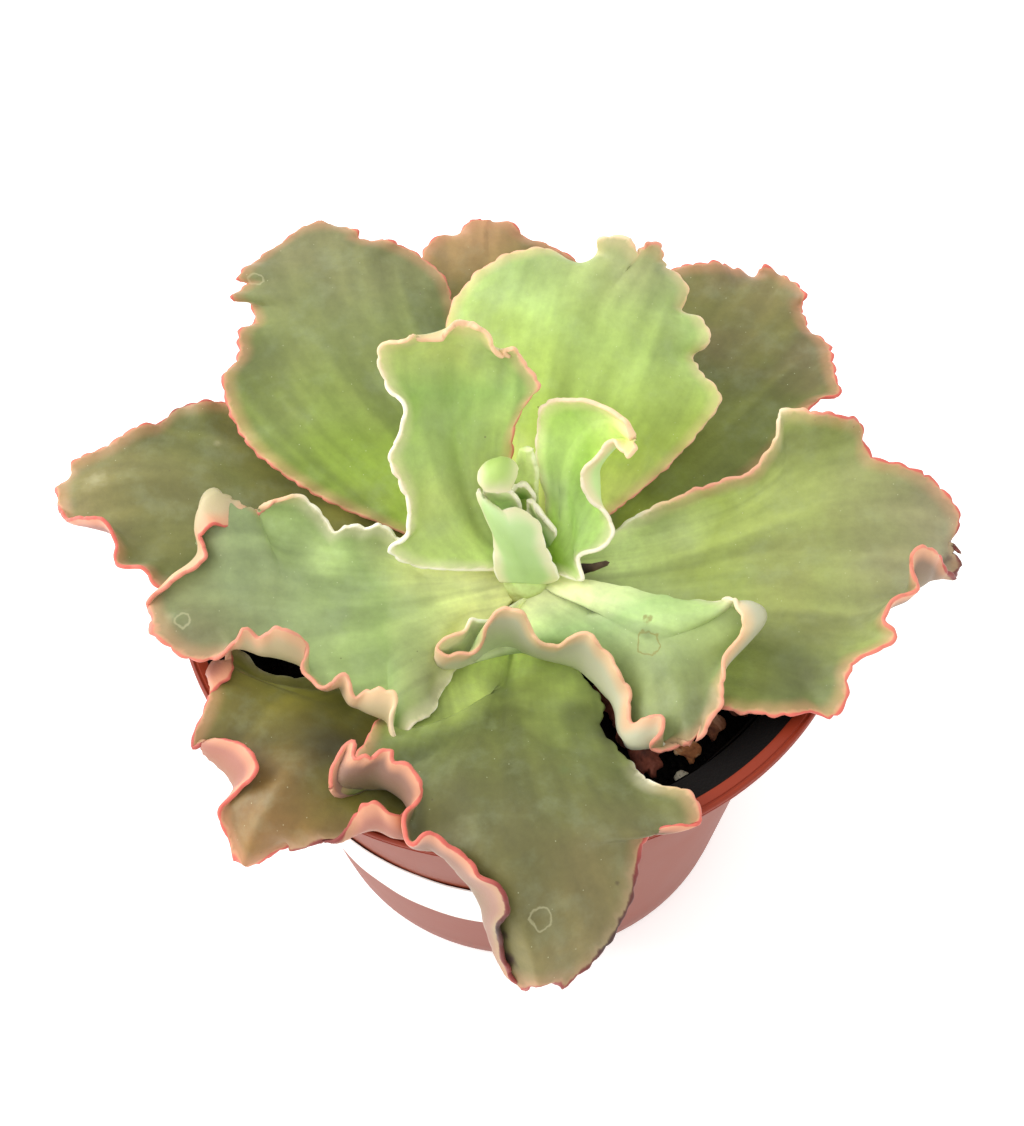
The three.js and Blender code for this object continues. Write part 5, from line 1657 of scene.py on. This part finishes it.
def soil_height(x, y):
    """Height in mm of the soil, heaped a little towards the stem, with clods of a few millimetres."""
    reach = np.hypot(x - STEM_X, y - STEM_Y) / LIP_RADIUS
    bumps = np.sin(0.21 * x + 0.9) * np.cos(0.17 * y - 0.4) + 0.6 * np.sin(0.37 * (x - y))
    clods = 0.5 * soft_noise(x / 4 + 30, y / 4 + 30, 21) + 0.3 * soft_noise(x / 1.6 + 60, y / 1.6 + 60, 22)
    bank = 10.5 * smooth_step(0.815, 0.866, np.hypot(x, y) / LIP_RADIUS)
    return SOIL_TOP - 2.5 * reach**2 + 0.8 * bumps + clods + bank


def soil_bed(rings, sides, reach):
    """Vertices and faces of the soil's top, as rings round the middle, out to a radius, in mm."""
    vertices = [(0.0, 0.0, float(soil_height(0.0, 0.0)))]
    for k in range(1, rings + 1):
        radius = reach * k / rings
        angle = 2 * np.pi * np.arange(sides) / sides
        x, y = radius * np.cos(angle), radius * np.sin(angle)
        vertices += np.stack([x, y, soil_height(x, y)], axis=1).tolist()
    faces = [(0, 1 + k, 1 + (k + 1) % sides) for k in range(sides)]
    for r in range(rings - 1):
        a = 1 + r * sides
        faces += [
            (a + k, a + sides + k, a + sides + (k + 1) % sides, a + (k + 1) % sides) for k in range(sides)
        ]
    return vertices, faces


# Operators

class ECHEVERIA_OT_pot(bpy.types.Operator):
    """Makes the tapered plastic pot with its lip and drain holes"""

    bl_idname = "echeveria.pot"
    bl_label = "Pot"

    def execute(self, context):
        settings = context.scene.echeveria_pot
        vertices, faces = turned(pot_profile(), 192)
        size = np.array(
            [
                settings.lip_radius / LIP_RADIUS, settings.lip_radius / LIP_RADIUS,
                settings.height / POT_HEIGHT,
            ]
        )
        plastic = moulded_polypropylene(settings)
        shell = new_object("pot_blank", vertices * size, faces, plastic)
        tree, identifiers = drain_tree()
        shell = run_tree(
            shell, tree, identifiers,
            {
                "Holes": settings.holes, "Ring": settings.hole_ring, "Radius": settings.hole_radius,
                "Material": plastic,
            },
            "pot_shell",
        )
        shell.data.shade_smooth()
        shell.data.set_sharp_from_angle(angle=math.radians(50))
        finished(shell, "pot_plastic", "pot")
        return {"FINISHED"}


class ECHEVERIA_OT_label(bpy.types.Operator):
    """Makes the bare paper label on the front left of the pot"""

    bl_idname = "echeveria.label"
    bl_label = "Label"

    def execute(self, context):
        columns, rows, corner = 72, 24, 2.0
        across = np.linspace(0, 1, columns + 1)
        up = np.linspace(0, 1, rows + 1)
        width = math.radians(LABEL_TO - LABEL_FROM) * wall_radius(45)
        height = LABEL_TOP - LABEL_BOTTOM
        s, t = np.meshgrid(across * width, up * height)
        # Pull the corners in to a small radius
        near_end = np.minimum(s, width - s)
        for_corner = np.maximum(corner - np.minimum(t, height - t), 0)
        inset = corner - np.sqrt(np.maximum(corner**2 - for_corner**2, 0))
        s = np.where(s < width / 2, np.maximum(s, inset), np.minimum(s, width - inset))
        z = LABEL_BOTTOM + t
        angle = math.radians(LABEL_FROM) + s / wall_radius(45)
        lift = 0.35 + 0.12 * soft_noise(
            s / 7 + 9, t / 9 + 4, 31,
        ) + 0.5 * np.exp(-near_end / 2.5) * np.exp(-t / 3)
        faces = []
        layers = []
        for out in (lift + 0.35, lift):
            radius = wall_radius(z) + out
            layers.append(
                np.stack([radius * np.cos(angle), radius * np.sin(angle), z], axis=2).reshape(-1, 3)
            )
        count = (rows + 1) * (columns + 1)
        grid = np.arange(count).reshape(rows + 1, columns + 1)
        for r in range(rows):
            for c in range(columns):
                quad = [grid[r, c], grid[r, c + 1], grid[r + 1, c + 1], grid[r + 1, c]]
                faces.append([int(v) for v in quad])
                faces.append([int(v) + count for v in reversed(quad)])
        rim = [*grid[0, :-1], *grid[:-1, -1], *grid[-1, :0:-1], *grid[:0:-1, 0]]
        for a, b in zip(rim, rim[1:] + rim[:1]):
            faces.append([int(b), int(a), int(a) + count, int(b) + count])
        paper = label_paper(context.scene.echeveria_pot)
        label = new_object("label_sheet", np.vstack(layers) * MM, faces, paper)
        label.data.set_sharp_from_angle(angle=math.radians(50))
        finished(label, "label_paper", "pot_label")
        return {"FINISHED"}


class ECHEVERIA_OT_soil(bpy.types.Operator):
    """Makes the soil that fills the pot, with the crumbs that lie on it"""

    bl_idname = "echeveria.soil"
    bl_label = "Soil"

    def execute(self, context):
        settings = context.scene.echeveria_soil
        rings, sides = 44, 160
        peat = damp_peat("damp_peat", list(settings.soil_colour), list(settings.crumb_colour))
        vertices, faces = soil_bed(rings, sides, SOIL_RADIUS - 3)
        surface = new_object("soil_surface", np.array(vertices) * MM, faces, peat)
        vertices, faces = soil_bed(rings, sides, SOIL_RADIUS)
        rim = 1 + (rings - 1) * sides
        start = len(vertices)
        for z in (SOIL_SIDE_TOP, SOIL_BOTTOM):
            for k in range(sides):
                angle = 2 * math.pi * k / sides
                radius = wall_radius(z) - WALL - SOIL_WALL_GAP
                vertices.append((radius * math.cos(angle), radius * math.sin(angle), z))
        middle = len(vertices)
        vertices.append((0, 0, SOIL_BOTTOM))
        low = start + sides
        for k in range(sides):
            n = (k + 1) % sides
            faces.append((rim + k, start + k, start + n, rim + n))
            faces.append((start + k, low + k, low + n, start + n))
            faces.append((low + k, middle, low + n))
        fill = new_object("soil_fill", np.array(vertices) * MM, faces, peat)
        fill.data.set_sharp_from_angle(angle=math.radians(60))
        finished(fill, "soil", "soil")
        tree, identifiers = crumbs_tree()
        crumbs = run_tree(
            surface, tree, identifiers,
            {"Density": settings.grains, "Smallest": settings.grain_smallest,
             "Largest": settings.grain_largest, "Seed": settings.seed, "Material": peat},
            "soil_crumbs",
        )
        crumbs.data.shade_smooth()
        finished(crumbs, "soil")
        return {"FINISHED"}


class ECHEVERIA_OT_granule(bpy.types.Operator):
    """Makes the pale granule that lies on the soil"""

    bl_idname = "echeveria.granule"
    bl_label = "Granule"

    def execute(self, context):
        low, high = (np.array(corner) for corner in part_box("granule"))
        centre = (low + high) / 2 + np.array(GRANULE_SHIFT) * MM
        half = (high - low) / 2
        centre[2] = (float(soil_height(*(centre[:2] / MM))) + GRANULE_RISE) * MM
        rows, sides = 14, 24
        vertices, faces = turned(
            [(math.sin(math.pi * k / rows), -math.cos(math.pi * k / rows)) for k in range(1, rows)], sides,
        )
        poles = len(vertices)
        vertices = np.vstack([vertices, [(0, 0, -1), (0, 0, 1)]])
        last = poles - sides
        for k in range(sides):
            faces.append((poles, (k + 1) % sides, k))
            faces.append((poles + 1, last + k, last + (k + 1) % sides))
        dents = 1 + 0.16 * soft_noise(
            vertices[:, 0] * 2 + 7, vertices[:, 1] * 2 + vertices[:, 2] * 1.7 + 7, 41,
        )
        vertices = centre + vertices * dents[:, None] * half
        granule = new_object("pumice_granule", vertices, faces, porous_pumice(context.scene.echeveria_soil))
        finished(granule, "granule", "granule")
        return {"FINISHED"}


class ECHEVERIA_OT_stem(bpy.types.Operator):
    """Makes the stem with its old leaf scars, and the dried stub of a lost leaf"""

    bl_idname = "echeveria.stem"
    bl_label = "Stem"

    def execute(self, context):
        profile = [(0, 80), (5.6, 80)]
        outline = [(8, 84), (8, 94), (7, 99), (5.8, 105), (3.6, 109.5), (1.8, 111.5)]
        for z in np.linspace(84, 111.4, 40):
            radius = np.interp(z, [p[1] for p in outline], [p[0] for p in outline])
            profile.append((radius + 0.15 * math.sin(z * 2.6), z))
        profile.append((0, 111.5))
        vertices, faces = turned(profile, 48)
        angle = np.arctan2(vertices[:, 1], vertices[:, 0])
        swell = 1 + 0.03 * soft_noise(angle * 3 + 12, vertices[:, 2] / 2.5, 51)
        vertices[:, :2] *= swell[:, None]
        vertices += (STEM_X, STEM_Y, 0)
        cork = corky_stem()
        stem = new_object("stem_core", vertices * MM, faces, cork)
        finished(stem, "stem", "stem")
        stub_vertices, stub_faces = turned(
            [(0, 0), (1.7, 0), (1.6, 3), (1.5, 7), (1.5, 10), (1.1, 12), (1.3, 14), (0.5, 17.2), (0, 17.9)],
            20,
        )
        way = np.array(STUB_WAY) / np.linalg.norm(STUB_WAY)
        over = np.cross((0, 0, 1), way)
        over /= np.linalg.norm(over)
        axes = np.stack([over, np.cross(way, over), way])
        dents = 1 + 0.45 * soft_noise(stub_vertices[:, 2] / 1.5, stub_vertices[:, 0], 52)
        stub_vertices[:, :2] *= dents[:, None]
        stub = new_object(
            "dried_stub", (stub_vertices @ axes + STUB_FOOT) * MM, stub_faces,
            dead_leaf_paper("dried_stub_paper", ("#1C1410", "#3A2A20", "#6A5444")),
        )
        finished(stub, "stem")
        return {"FINISHED"}


def make_leaf(context, name, number):
    """One large leaf with its own flesh."""
    settings = context.scene.echeveria_leaves
    flesh = echeveria_flesh(name + "_flesh", LOOKS[name], settings)
    piece = blade(
        name + "_blade", LEAVES[name], flesh, settings, settings.rows, settings.columns,
        LEAF_SEED + 10 * number, LOOKS[name]["tint"],
        crimp=CRIMP.get(name, 1.0), crease=CREASE.get(name, 0.25),
    )
    finished(piece, SLOT_OF_LEAF[name], name)


class ECHEVERIA_OT_leaves(bpy.types.Operator):
    """Makes the large leaves of the rosette"""

    bl_idname = "echeveria.leaves"
    bl_label = "Leaves"

    def execute(self, context):
        for number, name in enumerate(LEAVES):
            make_leaf(context, name, number)
        return {"FINISHED"}


class ECHEVERIA_OT_young_leaves(bpy.types.Operator):
    """Makes the small leaves that stand in the middle of the rosette"""

    bl_idname = "echeveria.young_leaves"
    bl_label = "Young leaves"

    def execute(self, context):
        settings = context.scene.echeveria_leaves
        skins = {
            name: echeveria_flesh(name + "_flesh", look, settings) for name, look in YOUNG_LOOKS.items()
        }
        skins["bud_right"] = skins["bud_back"]
        tints = {name: look["tint"] for name, look in YOUNG_LOOKS.items()}
        tints["bud_right"] = tints["bud_back"]
        nodes = {"inner_front": ["leaf_inner_front"], "inner_fold": [], "inner_hood": []}
        for number, (name, spec) in enumerate(YOUNG.items()):
            piece = blade(
                name + "_blade", spec, skins[name], settings, *YOUNG_GRID, YOUNG_SEED + number, tints[name],
                crimp=0.45, crease=0.0, rumple=0.12, finer=1.25,
            )
            finished(piece, "leaf_young", *nodes.get(name, [name]))
        return {"FINISHED"}


class ECHEVERIA_OT_withered(bpy.types.Operator):
    """Makes the dead leaves that lie on the soil"""

    bl_idname = "echeveria.withered"
    bl_label = "Withered leaves"

    def execute(self, context):
        settings = context.scene.echeveria_leaves
        for number, (name, leaf) in enumerate(WITHERED.items()):
            paper = dead_leaf_paper(name + "_paper", leaf["tones"])
            spec = narrow_spec(leaf["rib"], leaf["across"], WITHERED_HALF_WIDTH, WITHERED_CUP)
            piece = blade(
                name + "_blade", spec, paper, settings, *WITHERED_GRID, WITHERED_SEED + number, DEAD_TINT,
                crimp=1.6, crease=0.3, rumple=0.9,
            )
            finished(piece, "withered", name)
        return {"FINISHED"}


class ECHEVERIA_OT_stage(bpy.types.Operator):
    """Makes the floor, the lights and the camera"""

    bl_idname = "echeveria.stage"
    bl_label = "Stage"

    def execute(self, context):
        scene = context.scene
        settings = scene.echeveria_stage
        half = 3.0
        corners = [(-half, -half, 0), (half, -half, 0), (half, half, 0), (-half, half, 0)]
        floor = new_object("floor", np.array(corners), [(0, 1, 2, 3)], studio_floor(settings), smooth=False)
        place_lights(scene, settings)
        place_camera(scene)
        return {"FINISHED"}


def place_lights(scene, settings):
    """A large softbox high on the left behind the plant, and even white surroundings."""
    world = bpy.data.worlds.new("studio")
    world.use_nodes = True
    surroundings = world.node_tree.nodes["Background"]
    surroundings.inputs["Color"].default_value = (1, 1, 1, 1)
    surroundings.inputs["Strength"].default_value = settings.sky_strength
    scene.world = world
    light = bpy.data.lights.new("key", "AREA")
    light.energy = settings.key_power
    light.shape = "RECTANGLE"
    light.size, light.size_y = KEY_SIZE
    key = bpy.data.objects.new("key", light)
    scene.collection.objects.link(key)
    key.matrix_world = looking(KEY_PLACE, KEY_AIM)
    scene.view_settings.view_transform = "Standard"


def looking(place, target):
    """The matrix of a light or camera at place that looks at target."""
    back = np.array(place, float) - np.array(target, float)
    back /= np.linalg.norm(back)
    right = np.cross((0, 0, 1), back)
    right /= np.linalg.norm(right)
    return aimed(right, np.cross(back, right), back, place)


def aimed(right, up, back, place):
    """A matrix from three axes and a place."""
    turn = Matrix([[right[k], up[k], back[k], place[k]] for k in range(3)] + [[0, 0, 0, 1]])
    return turn


def place_camera(scene):
    """The camera, looking down at the pot from the front."""
    down, roll = math.radians(CAMERA_DOWN), math.radians(CAMERA_ROLL)
    forward = np.array([0, math.cos(down), -math.sin(down)])
    level = np.array([1.0, 0, 0])
    high = np.cross(level, forward)
    right = math.cos(roll) * level + math.sin(roll) * high
    up = -math.sin(roll) * level + math.cos(roll) * high
    lens = bpy.data.cameras.new("camera")
    lens.sensor_fit = "AUTO"
    lens.sensor_width = SENSOR
    lens.lens = FOCAL_PIXELS * SENSOR / PICTURE_HEIGHT
    lens.clip_start = 0.01
    camera = bpy.data.objects.new("camera", lens)
    scene.collection.objects.link(camera)
    camera.matrix_world = aimed(right, up, -forward, CAMERA_PLACE)
    scene.camera = camera


class ECHEVERIA_PT_panel(bpy.types.Panel):
    """Lists the pieces and their settings"""

    bl_idname = "ECHEVERIA_PT_panel"
    bl_label = "Echeveria"
    bl_space_type = "VIEW_3D"
    bl_region_type = "UI"
    bl_category = "Echeveria"

    def draw(self, context):
        for owner in ("leaves", "pot", "soil", "stage"):
            settings = getattr(context.scene, "echeveria_" + owner)
            box = self.layout.box()
            for name in settings.bl_rna.properties.keys():
                if name not in ("rna_type", "name"):
                    box.prop(settings, name)
        for operator in OPERATORS:
            self.layout.operator(operator.bl_idname)


SETTINGS = {"leaves": LeafSettings, "pot": PotSettings, "soil": SoilSettings, "stage": StageSettings}
OPERATORS = (
    ECHEVERIA_OT_pot, ECHEVERIA_OT_label, ECHEVERIA_OT_soil, ECHEVERIA_OT_granule, ECHEVERIA_OT_stem,
    ECHEVERIA_OT_leaves, ECHEVERIA_OT_young_leaves, ECHEVERIA_OT_withered, ECHEVERIA_OT_stage,
)


def register():
    """Registers the settings, operators and panel."""
    for owner, group in SETTINGS.items():
        bpy.utils.register_class(group)
        setattr(bpy.types.Scene, "echeveria_" + owner, bpy.props.PointerProperty(type=group))
    for operator in OPERATORS:
        bpy.utils.register_class(operator)
    bpy.utils.register_class(ECHEVERIA_PT_panel)


def unregister():
    """Takes them away again."""
    bpy.utils.unregister_class(ECHEVERIA_PT_panel)
    for operator in reversed(OPERATORS):
        bpy.utils.unregister_class(operator)
    for owner, group in SETTINGS.items():
        delattr(bpy.types.Scene, "echeveria_" + owner)
        bpy.utils.unregister_class(group)


def main():
    """Makes every piece in order."""
    register()
    bpy.ops.echeveria.pot()
    bpy.ops.echeveria.label()
    bpy.ops.echeveria.soil()
    bpy.ops.echeveria.granule()
    bpy.ops.echeveria.stem()
    bpy.ops.echeveria.leaves()
    bpy.ops.echeveria.young_leaves()
    bpy.ops.echeveria.withered()
    bpy.ops.echeveria.stage()


if __name__ == "__main__":
    main()
